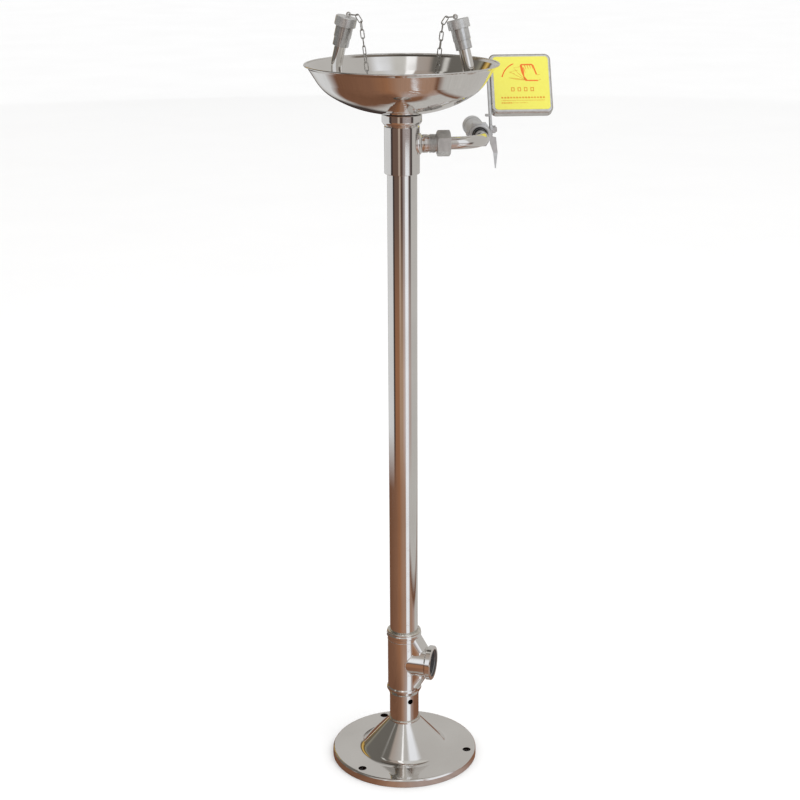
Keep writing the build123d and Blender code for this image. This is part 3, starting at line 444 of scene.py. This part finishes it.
HIGH_WALLS = (
    (-180, WALL), (-150, PANEL), (-84, PANEL), (-80, CEILING), (-76, CEILING), (-72, PANEL), (-58, PANEL),
    (-50, SHELF_LIGHT), (-13, WALL), (-10, LAMP), (-6, LAMP), (-3, WALL), (12, WALL), (22, WINDOW),
    (44, WINDOW), (60, WALL), (180, WALL),
)
CEILING_LIGHTS = (
    (-180, SHELF_DARK), (-138, SHELF_DARK), (-112, SHELF), (-78, SHELF), (-66, SHELF_LIGHT),
    (-30, SHELF_LIGHT), (-27, LAMP), (-11, LAMP), (-7, CEILING), (10, CEILING), (30, WALL_LEFT),
    (50, CEILING), (118, CEILING), (130, SHELF_MID), (180, SHELF_DARK),
)
LOW_WALLS_SPAN = (0.03, 0.14)   # shares of the way up from the horizon over which each height takes over
HIGH_WALLS_SPAN = (0.46, 0.54)
CEILING_SPAN = (0.66, 0.70)


def dome_glow():
    recipe = Recipe("room_dome")
    bearing, _ = towards_camera(recipe)
    rise = recipe.maths("ARCTAN2", recipe.along(UP), recipe.from_axis())
    rise = recipe.maths("DIVIDE", rise, math.pi / 2)
    colour = by_bearing(recipe, bearing, HORIZON)
    colour = recipe.fade(rise, LOW_WALLS_SPAN, colour, by_bearing(recipe, bearing, LOW_WALLS))
    colour = recipe.fade(rise, HIGH_WALLS_SPAN, colour, by_bearing(recipe, bearing, HIGH_WALLS))
    colour = recipe.fade(rise, CEILING_SPAN, colour, by_bearing(recipe, bearing, CEILING_LIGHTS))
    return glowing(recipe, colour)


LOUVRE_FROM = 17                # bearings
LOUVRE_TO = 50
LOUVRE_STEP = 0.04              # how much of the column each louvre serves
LOUVRE_LOWEST = 0.07            # the stretch of the column that mirrors louvres
LOUVRE_HIGHEST = 0.94


def louvre_glow():
    """The brightness that gives the column its white stripe."""
    recipe = Recipe("room_louvre")
    bearing, _ = towards_camera(recipe)
    stops = (
        (-180, HAZE_NEAR), (LOUVRE_FROM, HAZE_NEAR), (LOUVRE_FROM + 6, WINDOW), (LOUVRE_TO - 8, WINDOW),
        (LOUVRE_TO, HAZE_FAR), (180, HAZE_FAR),
    )
    return glowing(recipe, by_bearing(recipe, bearing, stops))


def link(name, mesh):
    """A new object for a mesh, placed in the scene."""
    piece = bpy.data.objects.new(name, mesh)
    bpy.context.scene.collection.objects.link(piece)
    return piece


def mirror_only(piece):
    """Shown only in the steel, like the parts of a room behind the camera."""
    piece.visible_camera = False
    piece.visible_diffuse = False
    piece.visible_transmission = False
    piece.visible_volume_scatter = False
    piece.visible_shadow = False


def sight_slope(height):
    """How steeply the camera looks down at the column at this height."""
    return (CAMERA_PLACE.z - height) / abs(CAMERA_PLACE.y)


def make_louvres():
    """Low upright screens that the column mirrors at a glancing angle and the bowl looks down between."""
    shape = bmesh.new()
    low = LOUVRE_LOWEST
    while low < LOUVRE_HIGHEST:
        distance = low / sight_slope(low)
        high = low + LOUVRE_STEP
        height = high - distance * sight_slope(high)
        rows = []
        for bearing in range(LOUVRE_FROM, LOUVRE_TO + 1, 3):
            angle = math.radians(bearing - CAMERA_TURN_DEG)
            x, y = distance * math.sin(angle), -distance * math.cos(angle)
            rows.append((shape.verts.new((x, y, 0)), shape.verts.new((x, y, height))))
        for (foot, top), (next_foot, next_top) in zip(rows, rows[1:]):
            shape.faces.new((foot, next_foot, next_top, top))
        low = high
    mesh = bpy.data.meshes.new("room_louvres")
    shape.to_mesh(mesh)
    mesh.materials.append(louvre_glow())
    mirror_only(link("room_louvres", mesh))


def make_room():
    shape = bmesh.new()
    bmesh.ops.create_icosphere(shape, subdivisions=5, radius=ROOM_RADIUS)
    mesh = bpy.data.meshes.new("room_dome")
    shape.to_mesh(mesh)
    mesh.materials.append(dome_glow())
    mirror_only(link("room_dome", mesh))
    shape = bmesh.new()
    bmesh.ops.create_circle(shape, cap_ends=True, segments=96, radius=ROOM_RADIUS * 0.999)
    mesh = bpy.data.meshes.new("room_floor")
    shape.to_mesh(mesh)
    mesh.materials.append(floor_glow())
    floor = link("room_floor", mesh)
    floor.location.z = -2 * MM
    mirror_only(floor)


PALE = (0.93, 0.93, 0.93)
PALE_DIM = (0.91, 0.91, 0.91)


def make_floor():
    """The plain pale floor that the camera sees, which also serves as the backdrop."""
    shape = bmesh.new()
    bmesh.ops.create_grid(shape, x_segments=1, y_segments=1, size=30)
    mesh = bpy.data.meshes.new("floor")
    shape.to_mesh(mesh)
    mesh.materials.append(matte("floor_pale", PALE, PALE_DIM, (0.8, 0.9), 2.0, 0.05))
    floor = link("floor", mesh)
    floor.location.z = -0.5 * MM
    floor.visible_glossy = False


SKY_WHITE = (1.07, 1.07, 1.07, 1)
KEY_SIZE = 2.4
KEY_WATTS = 30
KEY_PLACE = Vector((1.6, -1.8, 3.2))
KEY_FROM = Vector((1.6, -1.8, 2.6))     # the direction that the light comes from


def make_lights():
    world = bpy.data.worlds.new("world")
    bpy.context.scene.world = world
    world.use_nodes = True
    world.node_tree.nodes["Background"].inputs["Color"].default_value = SKY_WHITE
    lamp = bpy.data.lights.new("soft_key", "AREA")
    lamp.size = KEY_SIZE
    lamp.energy = KEY_WATTS
    key = bpy.data.objects.new("soft_key", lamp)
    key.location = KEY_PLACE
    key.rotation_euler = KEY_FROM.to_track_quat("Z", "Y").to_euler()
    key.visible_glossy = False
    bpy.context.scene.collection.objects.link(key)
    bpy.context.scene.view_settings.view_transform = "Standard"


# ---------------------------------------------------------------- CAD nodes
def dress(material, *names):
    """Gives CAD nodes a material."""
    for name in names:
        mesh = frame["nodes"][name].data
        mesh.materials.clear()
        mesh.materials.append(material)


def sides(*names):
    return [f"{side}_{name}" for side in SIDES for name in names]


HEAD_TILT = math.radians(14.0)
ARM_BEARING = {"right": math.radians(-22.0), "left": math.radians(158.0)}


def head_axis(side):
    """The way a spray head points: up, and leaning in over the bowl."""
    bearing = ARM_BEARING[side]
    lean = -math.sin(HEAD_TILT)
    return Vector((lean * math.cos(bearing), lean * math.sin(bearing), math.cos(HEAD_TILT)))


# Near-black painted shade inside the anchor holes, the weep hole and the lower stub.
HOLE_SHADE = (0.012, 0.012, 0.012)
DULL_BORE = (0.42, 0.42, 0.425)
ANCHOR_START_DEG = -15.0
ANCHOR_WALL_MM = 0.25           # extra radius that takes in a hole's wall
WEEP_WALL_MM = 0.2
MOUTH_WALL_MM = 0.15
# The lower stub's inside, painted near-black as shade.
STUB_SHADE_BORE = ((0, 0, 0), (0, 0, 1), 20.4 * MM, HOLE_SHADE)
RIM_ABOVE_HOLES = 1 * MM


def anchor_bores():
    """The anchor holes, painted near-black inside as the shade under the dish."""
    dims = MOUNTS["anchor_holes"]["dims"]
    bores = []
    for index in range(dims["count"]):
        angle = math.radians(ANCHOR_START_DEG + index * 360 / dims["count"])
        place = (dims["pcd_mm"] / 2 * MM * math.cos(angle), dims["pcd_mm"] / 2 * MM * math.sin(angle), 0)
        bores.append((place, (0, 0, 1), (dims["hole_r_mm"] + ANCHOR_WALL_MM) * MM, HOLE_SHADE))
    return bores


def mount_bore(name, extra, colour):
    """The inside of a mount's hole, with an extra radius in millimetres that takes in its wall."""
    mount = MOUNTS[name]
    axis = Vector(mount["axis"]).normalized()
    return tuple(mount["pos_m"]), tuple(axis), (mount["dims"]["r_mm"] + extra) * MM, colour


def dress_base_and_column():
    tube = polished_steel("polished_tube", "lengthwise")
    dress(tube, "column_tube", "elbow_tube", "riser_tube", *sides("nozzle_arm"))
    stub_bores = [mount_bore("weep_hole", WEEP_WALL_MM, HOLE_SHADE), STUB_SHADE_BORE]
    dress(polished_steel("polished_stub", "lengthwise", bores=stub_bores), "lower_stub")
    rim = (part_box("base_flange")[1].x, MOUNTS["anchor_holes"]["pos_m"][2] + RIM_ABOVE_HOLES)
    base = polished_steel("polished_base", "rings", wave=0.05, bores=anchor_bores(), dish_rim=rim)
    dress(base, "base_flange")


def dress_bowl():
    spun = polished_steel("polished_spun", "rings", wave=0.04)
    dress(spun, "bowl", "strainer_plate", "drain_tailpiece")


def dress_castings():
    """Polished castings. Gives back the tee's material and the other castings' material."""
    cast = polished_steel("polished_cast", "grain", wave=0.03)
    dress(cast, "upper_body", "manifold", "side_nipple")
    dress(cast, "valve_ball", "strainer_screws", *sides("chain_clip", "cap_eye"))
    mouth = [mount_bore("drain_outlet", MOUTH_WALL_MM, DULL_BORE)]
    tee = polished_steel("polished_tee", "grain", wave=0.03, bores=mouth)
    dress(tee, "drain_tee")
    return tee, cast


def dress_satin():
    """Satin fittings. Gives back the darker and the lighter satin."""
    pressed = satin_steel("pressed_steel", (0.70, 0.69, 0.67), (0.60, 0.59, 0.57), (0.17, 0.24), 0.15, 0.96)
    dress(pressed, "push_plate")
    satin = satin_steel("satin_steel")
    dress(satin, "union_nut", "compression_ring", "union_tail_flange", "valve_stem", "plate_rivets")
    bright = satin_steel("bright_satin", (0.66, 0.665, 0.67), (0.55, 0.555, 0.56), (0.30, 0.42), 0.3, 0.72)
    dress(bright, "compression_nut", "valve_body", "valve_end", "gland_nut")
    dress(bright, "lever", "lever_washer", "stem_nut")
    return satin, bright


def dress_soft_parts():
    rubber = matte("seal_rubber", (0.035, 0.035, 0.036), (0.02, 0.02, 0.021), (0.55, 0.75), 300.0, 0.3)
    dress(rubber, "union_seal", "bowl_seal", "strainer_seal", *sides("cap_seal"))
    ptfe = matte("valve_ptfe", (0.86, 0.86, 0.84), (0.80, 0.80, 0.78), (0.35, 0.5), 200.0, 0.1)
    dress(ptfe, "ball_seats", "stem_packing")
    plastic = matte("spray_plastic", (0.16, 0.16, 0.165), (0.11, 0.11, 0.115), (0.4, 0.55), 400.0, 0.2)
    dress(plastic, *sides("spray_insert"))
    dress(printed_vinyl("label_yellow", (0.775, 0.735, 0.12), (0.76, 0.71, 0.105)), "push_plate_label")


def dress_heads():
    for side in SIDES:
        turned = turned_steel(f"turned_{side}", head_axis(side), rough=(0.10, 0.18), metallic=0.84)
        capped = turned_steel(f"turned_cap_{side}", head_axis(side), rough=(0.20, 0.30), metallic=0.70)
        dress(turned, f"{side}_nozzle_head", f"{side}_nozzle_sleeve")
        dress(capped, f"{side}_dust_cap")


def dress_nodes():
    """Gives every CAD node its material. Gives back the materials that the added pieces share."""
    dress_base_and_column()
    dress_bowl()
    tee, cast = dress_castings()
    satin, bright_satin = dress_satin()
    dress_soft_parts()
    dress_heads()
    chain = chain_steel()
    dress(chain, *sides("chain"))
    return tee, cast, satin, bright_satin, chain


# Painted shade for the recess between the nut's lip and the elbow.
RECESS_SHADE_LIGHT = (0.10, 0.10, 0.10)
RECESS_SHADE_DARK = (0.05, 0.05, 0.05)


def add_pieces(tee, cast, satin, bright_satin, chain):
    """The finer shapes that the CAD leaves out."""
    make_threads(tee, satin)
    shade = satin_steel("recess_shade", RECESS_SHADE_LIGHT, RECESS_SHADE_DARK, (0.5, 0.6), 0.3)
    make_nut_face(bright_satin, shade)
    make_beads(weld_metal())
    make_tee_lines(cast)
    for side in SIDES:
        make_chain(side, chain)
    make_print()


# ---------------------------------------------------------------- shapes for the pieces
def skin(shape, rings, closed=False):
    """Faces between rings of points, in order. An open tube gets flat ends."""
    rows = [[shape.verts.new(point) for point in ring] for ring in rings]
    neighbours = list(zip(rows, rows[1:]))
    if closed:
        neighbours.append((rows[-1], rows[0]))
    for low, high in neighbours:
        for index, corner in enumerate(low):
            after = (index + 1) % len(low)
            shape.faces.new((corner, low[after], high[after], high[index]))
    if not closed:
        shape.faces.new(reversed(rows[0]))
        shape.faces.new(rows[-1])


def section(centre, out, side, radius, points=10):
    """A round section: points about a centre, in the plane of two unit directions."""
    angles = [2 * math.pi * index / points for index in range(points)]
    return [centre + radius * (math.cos(a) * out + math.sin(a) * side) for a in angles]


def crossways(axis):
    """Two unit directions square to an axis and to each other."""
    first = axis.orthogonal().normalized()
    return first, axis.cross(first).normalized()


def finish_piece(name, shape, material, body=None, smooth=True):
    """Turns a shape into a piece of the visual model. Without a body, it is not attached."""
    bmesh.ops.recalc_face_normals(shape, faces=shape.faces)
    mesh = bpy.data.meshes.new(name)
    shape.to_mesh(mesh)
    shape.free()
    if smooth:
        mesh.shade_smooth()
    mesh.materials.append(material)
    piece = link(name, mesh)
    if body:
        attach(piece, body)
    return piece


# ---------------------------------------------------------------- threads
THREAD_STEPS = 40               # per turn
FADE_STEPS = 12
PIPE_PITCH_DRAIN_MM = 2.309     # G 1 1/4: eleven threads to the inch
PIPE_PITCH_INLET_MM = 1.814     # G 1/2: fourteen threads to the inch
DRAIN_CREST_MM = 19.75
INLET_CREST_MM = 9.6
NIPPLE_RIDGE = 1.1 * MM


def screw_ridge(shape, start, axis, root, crest, pitch, length):
    """A helical ridge that fades in and out, on a rod if crest is over root and in a bore if under."""
    first, second = crossways(axis)
    sunk = root - 0.1 * MM if crest > root else root + 0.1 * MM
    steps = int((length / pitch - 1) * THREAD_STEPS)
    rings = []
    for step in range(steps + 1):
        angle = 2 * math.pi * step / THREAD_STEPS
        grown = min(1, step / FADE_STEPS, (steps - step) / FADE_STEPS)
        out = math.cos(angle) * first + math.sin(angle) * second
        middle = start + axis * pitch * (0.5 + step / THREAD_STEPS)
        height = sunk + grown * (crest - sunk)
        profile = ((-0.46, sunk), (-0.10, height), (0.10, height), (0.46, sunk))
        rings.append([middle + axis * along * pitch + out * radius for along, radius in profile])
    skin(shape, rings)


def mouth_thread(mount, crest, pitch):
    """Where a female thread starts, which way it runs, and its sizes, from its mount."""
    axis = -Vector(mount["axis"]).normalized()
    start = Vector(mount["pos_m"]) + axis * 0.8 * MM
    length = (mount["dims"]["length_mm"] - 1.5) * MM
    return start, axis, mount["dims"]["r_mm"] * MM, crest * MM, pitch * MM, length


def make_threads(bright, satin):
    shape = bmesh.new()
    screw_ridge(shape, *mouth_thread(MOUNTS["drain_outlet"], DRAIN_CREST_MM, PIPE_PITCH_DRAIN_MM))
    finish_piece("drain_thread", shape, bright, "root", smooth=False)
    shape = bmesh.new()
    screw_ridge(shape, *mouth_thread(MOUNTS["water_inlet"], INLET_CREST_MM, PIPE_PITCH_INLET_MM))
    finish_piece("inlet_thread", shape, satin, "root", smooth=False)
    low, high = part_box("side_nipple")
    branch_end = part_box("upper_body")[1].x
    nut_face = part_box("union_nut")[0].x
    middle = (low + high) / 2
    start = Vector((branch_end + 0.5 * MM, middle.y, middle.z))
    root = (high.z - low.z) / 2
    length = nut_face - start.x - 0.2 * MM
    shape = bmesh.new()
    screw_ridge(
        shape, start, Vector((1, 0, 0)), root, root + NIPPLE_RIDGE, PIPE_PITCH_INLET_MM * MM, length
    )
    finish_piece("nipple_thread", shape, satin, "root", smooth=False)


# ---------------------------------------------------------------- compression nut's face
LIP_R_MM = 13.4                 # the lip's middle, its half width, its height and its foot
LIP_HALF_WIDTH_MM = 2.3
LIP_HEIGHT_MM = 2.2
LIP_FOOT_MM = 0.2
LIP_BACK_MM = 0.8


def turned_ring(shape, start, axis, profile, steps=72):
    """A ring about an axis, from a closed outline of (along, radius) in millimetres."""
    first, second = crossways(axis)
    rings = []
    for step in range(steps):
        angle = 2 * math.pi * step / steps
        out = math.cos(angle) * first + math.sin(angle) * second
        rings.append([start + (axis * along + out * radius) * MM for along, radius in profile])
    skin(shape, rings, closed=True)


def make_nut_face(satin, shade):
    """The rolled lip on the nut that clamps the elbow, and a dark ring inside it that paints the shade in its
    recess.
    """
    low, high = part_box("compression_nut")
    start = Vector(((low.x + high.x) / 2, low.y, (low.z + high.z) / 2))
    axis = Vector((0, 1, 0))
    shape = bmesh.new()
    lip = []
    for degrees in range(0, 181, 20):
        angle = math.radians(degrees)
        along = LIP_FOOT_MM - LIP_HEIGHT_MM * math.sin(angle)
        lip.append((along, LIP_R_MM - LIP_HALF_WIDTH_MM * math.cos(angle)))
    turned_ring(shape, start, axis, [(LIP_BACK_MM, 11.1), *lip, (LIP_BACK_MM, 15.7)])
    finish_piece("nut_lip", shape, satin, "root")
    shape = bmesh.new()
    # A dark ring that paints the shade between the lip and the elbow.
    turned_ring(shape, start, axis, ((-0.25, 9.25), (-0.25, 11.6), (0.3, 11.6), (0.3, 9.25)))
    finish_piece("nut_recess", shape, shade, "root")


# ---------------------------------------------------------------- weld beads
SCALE_STEPS = 5                 # steps along each scale of a bead
NECK_BEAD_OUT = 0.8 * MM        # how far each bead's middle lies outside its tube
STUB_BEAD_OUT = 0.3 * MM
TOP_BEAD_OUT = 2.2 * MM
NECK_BEAD_THICK = 1.35 * MM
STUB_BEAD_THICK = 0.75 * MM
TOP_BEAD_THICK = 2.5 * MM
TOP_BEAD_DROP = 1.8 * MM        # below the tee's top


def bead_ring(shape, centre, axis, radius, thick, ripple, ripples, seed):
    """A weld bead round an axis, with the overlapping scales that a welder leaves."""
    chance = random.Random(seed)
    first, second = crossways(axis)
    steps = ripples * SCALE_STEPS
    swell = [1 + chance.uniform(-0.45, 0.45) * ripple for _ in range(ripples)]
    rings = []
    for step in range(steps):
        angle = 2 * math.pi * step / steps
        scale = step % SCALE_STEPS / SCALE_STEPS
        out = math.cos(angle) * first + math.sin(angle) * second
        size = thick * swell[step // SCALE_STEPS] * (1 - ripple * abs(2 * scale - 0.6))
        rings.append(section(centre + radius * out, out, axis, size))
    skin(shape, rings, closed=True)


def make_beads(weld):
    """The beads at the base's neck, under the tee and on top of it."""
    neck_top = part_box("base_flange")[1].z
    stub_low, stub_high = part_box("lower_stub")
    stub_r = (stub_high.x - stub_low.x) / 2
    tee_low, tee_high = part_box("drain_tee")
    column_low, column_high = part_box("column_tube")
    column_r = (column_high.x - column_low.x) / 2
    shape = bmesh.new()
    neck = Vector((0, 0, neck_top))
    tee_foot = Vector((0, 0, tee_low.z))
    tee_top = Vector((0, 0, tee_high.z - TOP_BEAD_DROP))
    bead_ring(shape, neck, UP, stub_r + NECK_BEAD_OUT, NECK_BEAD_THICK, ripple=0.26, ripples=46, seed=3)
    bead_ring(shape, tee_foot, UP, stub_r + STUB_BEAD_OUT, STUB_BEAD_THICK, ripple=0.12, ripples=60, seed=4)
    bead_ring(shape, tee_top, UP, column_r + TOP_BEAD_OUT, TOP_BEAD_THICK, ripple=0.0, ripples=24, seed=5)
    finish_piece("weld_beads", shape, weld, "root")


SADDLE_RUN_R = 24.8 * MM
SADDLE_BRANCH_R = 23.6 * MM
SADDLE_STEPS = 96
SEAM_THICK = 0.75 * MM
CAST_RING_R = 24.75 * MM
CAST_RING_THICK = 0.45 * MM
CAST_RING_DROP = 15 * MM        # below the tee's top


def make_tee_lines(cast):
    """The seam where the branch leaves the run, and the faint step below the tee's top bead."""
    mount = MOUNTS["drain_outlet"]
    axis = Vector(mount["axis"]).normalized()
    side = UP.cross(axis)
    shape = bmesh.new()
    rings = []
    for step in range(SADDLE_STEPS):
        angle = 2 * math.pi * step / SADDLE_STEPS
        across = SADDLE_BRANCH_R * math.cos(angle)
        reach = math.sqrt(SADDLE_RUN_R**2 - across**2)
        level = Vector((0, 0, mount["pos_m"][2] + SADDLE_BRANCH_R * math.sin(angle)))
        out = (math.cos(angle) * side + math.sin(angle) * UP).normalized()
        rings.append(section(level + across * side + reach * axis, out, axis, SEAM_THICK))
    skin(shape, rings, closed=True)
    ring = Vector((0, 0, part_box("drain_tee")[1].z - CAST_RING_DROP))
    bead_ring(shape, ring, UP, CAST_RING_R, CAST_RING_THICK, ripple=0.0, ripples=24, seed=6)
    finish_piece("tee_seams", shape, cast, "root")


# ---------------------------------------------------------------- chains
LINK_WIRE = 0.7 * MM
LINK_HALF_STRAIGHT = 3.9 * MM
LINK_BEND = 2.6 * MM
LINK_REACH = 6.5 * MM           # from a link's middle to the joint with the next
LINK_PITCH = 11.1 * MM
CORNER_PITCH = 10.3 * MM
CHAIN_FALL = math.radians(42.0)
EYE_R = 3.7 * MM
CAP_TOP_MM = 6.5                # above the cap's middle
RUN_JOINTS = 7                  # joints down the hanging run
LINK_TWIST_DEG = {
    "left": (0, 4, 0, 8, -24, 30, 12, 0, -10, 0),
    "right": (0, 0, -10, 12, 0, -14, 8, 0, 6, 0),
}
# A link's weld: its places along the wire in millimetres, and how far it swells the wire.
LINK_WELD = ((1.2, 1.0), (0.5, 1.2), (-0.5, 1.2), (-1.2, 1.0))


def chain_joints(side):
    """Where the links meet, from the cap's eye over its edge and down to the clip's eye."""
    bearing = ARM_BEARING[side]
    axis = head_axis(side)
    radial = Vector((math.cos(bearing), math.sin(bearing), 0))
    inward = Vector((-radial.x * math.cos(HEAD_TILT), -radial.y * math.cos(HEAD_TILT), -math.sin(HEAD_TILT)))
    low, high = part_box(f"{side}_dust_cap")
    top = (low + high) / 2 + axis * CAP_TOP_MM * MM
    low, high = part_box(f"{side}_chain_clip")
    clip_eye = Vector(((low.x + high.x) / 2, (low.y + high.y) / 2, high.z - EYE_R))
    eye = top + axis * 3.6 * MM + inward * 2.0 * MM
    edge = top + axis * 5.6 * MM + inward * 13.85 * MM
    below = edge + CORNER_PITCH * (math.cos(CHAIN_FALL) * inward - math.sin(CHAIN_FALL) * axis)
    run = (clip_eye - below).normalized()
    joints = [eye, edge, below]
    joints += [below + run * LINK_PITCH * index for index in range(1, RUN_JOINTS + 1)]
    return joints + [clip_eye], radial


def add_link(shape, middle, along, across):
    """One link: a bent wire with a small weld in the middle of one side."""
    normal = along.cross(across)
    rings = []
    for end in (1, -1):
        for step in range(11):
            angle = math.radians(18 * step - 90)
            out = end * (math.cos(angle) * along + math.sin(angle) * across)
            centre = middle + end * LINK_HALF_STRAIGHT * along + LINK_BEND * out
            rings.append(section(centre, out, normal, LINK_WIRE, 12))
        if end == 1:
            for offset, swell in LINK_WELD:
                centre = middle + offset * MM * along + LINK_BEND * across
                rings.append(section(centre, across, normal, LINK_WIRE * swell, 12))
    skin(shape, rings, closed=True)


def make_chain(side, material):
    """One chain, from the cap's eye over its edge and down to the clip's eye."""
    joints, radial = chain_joints(side)
    level = UP.cross(radial)
    shape = bmesh.new()
    for index, (start, end) in enumerate(zip(joints, joints[1:])):
        along = (end - start).normalized()
        middle = (start + end) / 2
        if index == 0:
            middle = start + along * LINK_REACH
        if index == len(joints) - 2:
            middle = end - along * LINK_REACH
        across = level if index % 2 == 0 else level.cross(along)
        twist = Matrix.Rotation(math.radians(LINK_TWIST_DEG[side][index]), 3, along)
        add_link(shape, middle, along, twist @ across)
    piece = finish_piece(f"{side}_chain_links", shape, material)
    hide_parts(f"{side}_chain")
    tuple(joints[-1])
    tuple(joints[0])
    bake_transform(piece)


# ---------------------------------------------------------------- label print
LABEL_SIZE = (82.0, 83.0)       # millimetres, like the widths of the print's strokes
LABEL_HALF_THICK = 0.2
PLATE_LEAN = math.radians(30.0)
INK_LIFT = 0.03
INK_THICK = 0.05
ARC_MIDDLE = (0.49, 0.47)
ARC_REACH = (0.345, 0.355)
ORANGE = (0.80, 0.165, 0.018)
ORANGE_DEEP = (0.75, 0.145, 0.015)
TAN = (0.70, 0.27, 0.02)
TAN_DEEP = (0.64, 0.24, 0.018)
# Fine outlines of the hand on its way, as shares of the label's width and height.
HAND_OUTLINES = (
    ((0.495, 0.195), (0.372, 0.212), (0.448, 0.318), (0.560, 0.425)),
    ((0.440, 0.262), (0.300, 0.288), (0.420, 0.365), (0.565, 0.440)),
    ((0.385, 0.330), (0.290, 0.300)),
    ((0.560, 0.452), (0.400, 0.432), (0.270, 0.400), (0.395, 0.415), (0.560, 0.440)),
)


class Print:
    """Flat ink shapes on the label. Places are shares of its width and height, from the top left."""

    def __init__(self):
        low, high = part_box("push_plate_label")
        self.right = Vector((1, 0, 0))
        self.up = Vector((0, math.sin(PLATE_LEAN), math.cos(PLATE_LEAN)))
        self.normal = Vector((0, -math.cos(PLATE_LEAN), math.sin(PLATE_LEAN)))
        self.centre = (low + high) / 2 + self.normal * (LABEL_HALF_THICK + INK_LIFT) * MM
        self.shape = bmesh.new()

    def place(self, u, v):
        width, height = LABEL_SIZE
        return self.centre + self.right * (u - 0.5) * width * MM + self.up * (0.5 - v) * height * MM

    def stroke(self, points, widths):
        """A line through points. widths is one width in mm or one for each point."""
        places = [self.place(*point) for point in points]
        if not isinstance(widths, tuple):
            widths = (widths,) * len(places)
        rings = []
        for index, (place, width) in enumerate(zip(places, widths)):
            before = places[max(index - 1, 0)]
            after = places[min(index + 1, len(places) - 1)]
            side = self.normal.cross((after - before).normalized()) * width / 2 * MM
            top = self.normal * INK_THICK * MM
            rings.append([place - side, place - side + top, place + side + top, place + side])
        skin(self.shape, rings)

    def bar(self, u, v, width, height):
        """A filled bar from its left middle, sized in shares of the label."""
        self.stroke([(u, v), (u + width, v)], height * LABEL_SIZE[1])

    def frame(self, u, v, width, height, line):
        """The outline of a box about a middle."""
        left, right, top, foot = u - width / 2, u + width / 2, v - height / 2, v + height / 2
        half = line / 2 / LABEL_SIZE[0]
        self.stroke([(left - half, top), (right + half, top)], line)
        self.stroke([(left - half, foot), (right + half, foot)], line)
        self.stroke([(left, top + half), (left, foot - half)], line)
        self.stroke([(right, top + half), (right, foot - half)], line)


def swept_arc():
    """The long curved stroke, from the label's left side up towards its top."""
    arc = []
    for degrees in range(14, 72, 4):
        angle = math.radians(degrees)
        across = ARC_MIDDLE[0] - ARC_REACH[0] * math.cos(angle)
        arc.append((across, ARC_MIDDLE[1] - ARC_REACH[1] * math.sin(angle)))
    return arc


def print_hand():
    """The bold orange drawing: a hand that pushes, and the arc that it follows."""
    bold = Print()
    arc = swept_arc()
    bold.stroke(arc, (2.4,) + (1.7,) * (len(arc) - 2) + (1.0,))
    bold.stroke([(0.497, 0.172), (0.515, 0.155), (0.700, 0.155), (0.722, 0.172), (0.778, 0.345)], 2.1)
    bold.stroke([(0.503, 0.165), (0.530, 0.290), (0.548, 0.380), (0.585, 0.450)], (3.0, 4.2, 1.7, 3.6))
    bold.stroke([(0.575, 0.455), (0.800, 0.460)], 1.9)
    for u, foot in ((0.570, 0.245), (0.615, 0.235), (0.658, 0.230), (0.700, 0.240)):
        bold.stroke([(u, 0.160), (u + 0.022, foot)], (1.0, 0.5))
    bold.stroke([(0.548, 0.210), (0.580, 0.310)], (1.2, 0.5))
    orange = printed_vinyl("ink_orange", ORANGE, ORANGE_DEEP)
    finish_piece("print_bold", bold.shape, orange, "handle", smooth=False)


def print_text_bars(fine):
    """Rows of plain bars that stand in for the wording."""
    chance = random.Random(11)
    for index in range(15):
        fine.bar(0.120 + index * 0.0535, 0.778, 0.034, chance.uniform(0.022, 0.034))
    for index in range(26):
        fine.bar(0.120 + index * 0.0305, 0.830, chance.uniform(0.014, 0.024), 0.010)
    for index in range(5):
        fine.bar(0.120 + index * 0.040, 0.877, 0.030, chance.uniform(0.018, 0.026))
    for index in range(11):
        fine.bar(0.325 + index * 0.025, 0.877, chance.uniform(0.010, 0.018), 0.010)


def print_fine_lines():
    """The tan print: the hand's outlines, four small hollow squares and the bars below them."""
    fine = Print()
    for outline in HAND_OUTLINES:
        fine.stroke(list(outline), 0.55)
    fine.stroke([(0.780, 0.352), (0.845, 0.345)], 0.5)
    fine.stroke([(0.800, 0.458), (0.855, 0.436)], 0.5)
    for u in (0.335, 0.452, 0.568, 0.685):
        fine.frame(u, 0.622, 0.048, 0.062, 1.1)
    print_text_bars(fine)
    tan = printed_vinyl("ink_tan", TAN, TAN_DEEP)
    finish_piece("print_fine", fine.shape, tan, "handle", smooth=False)


def make_print():
    print_hand()
    print_fine_lines()


make_camera()
make_lights()
make_floor()
make_room()
make_louvres()
add_pieces(*dress_nodes())
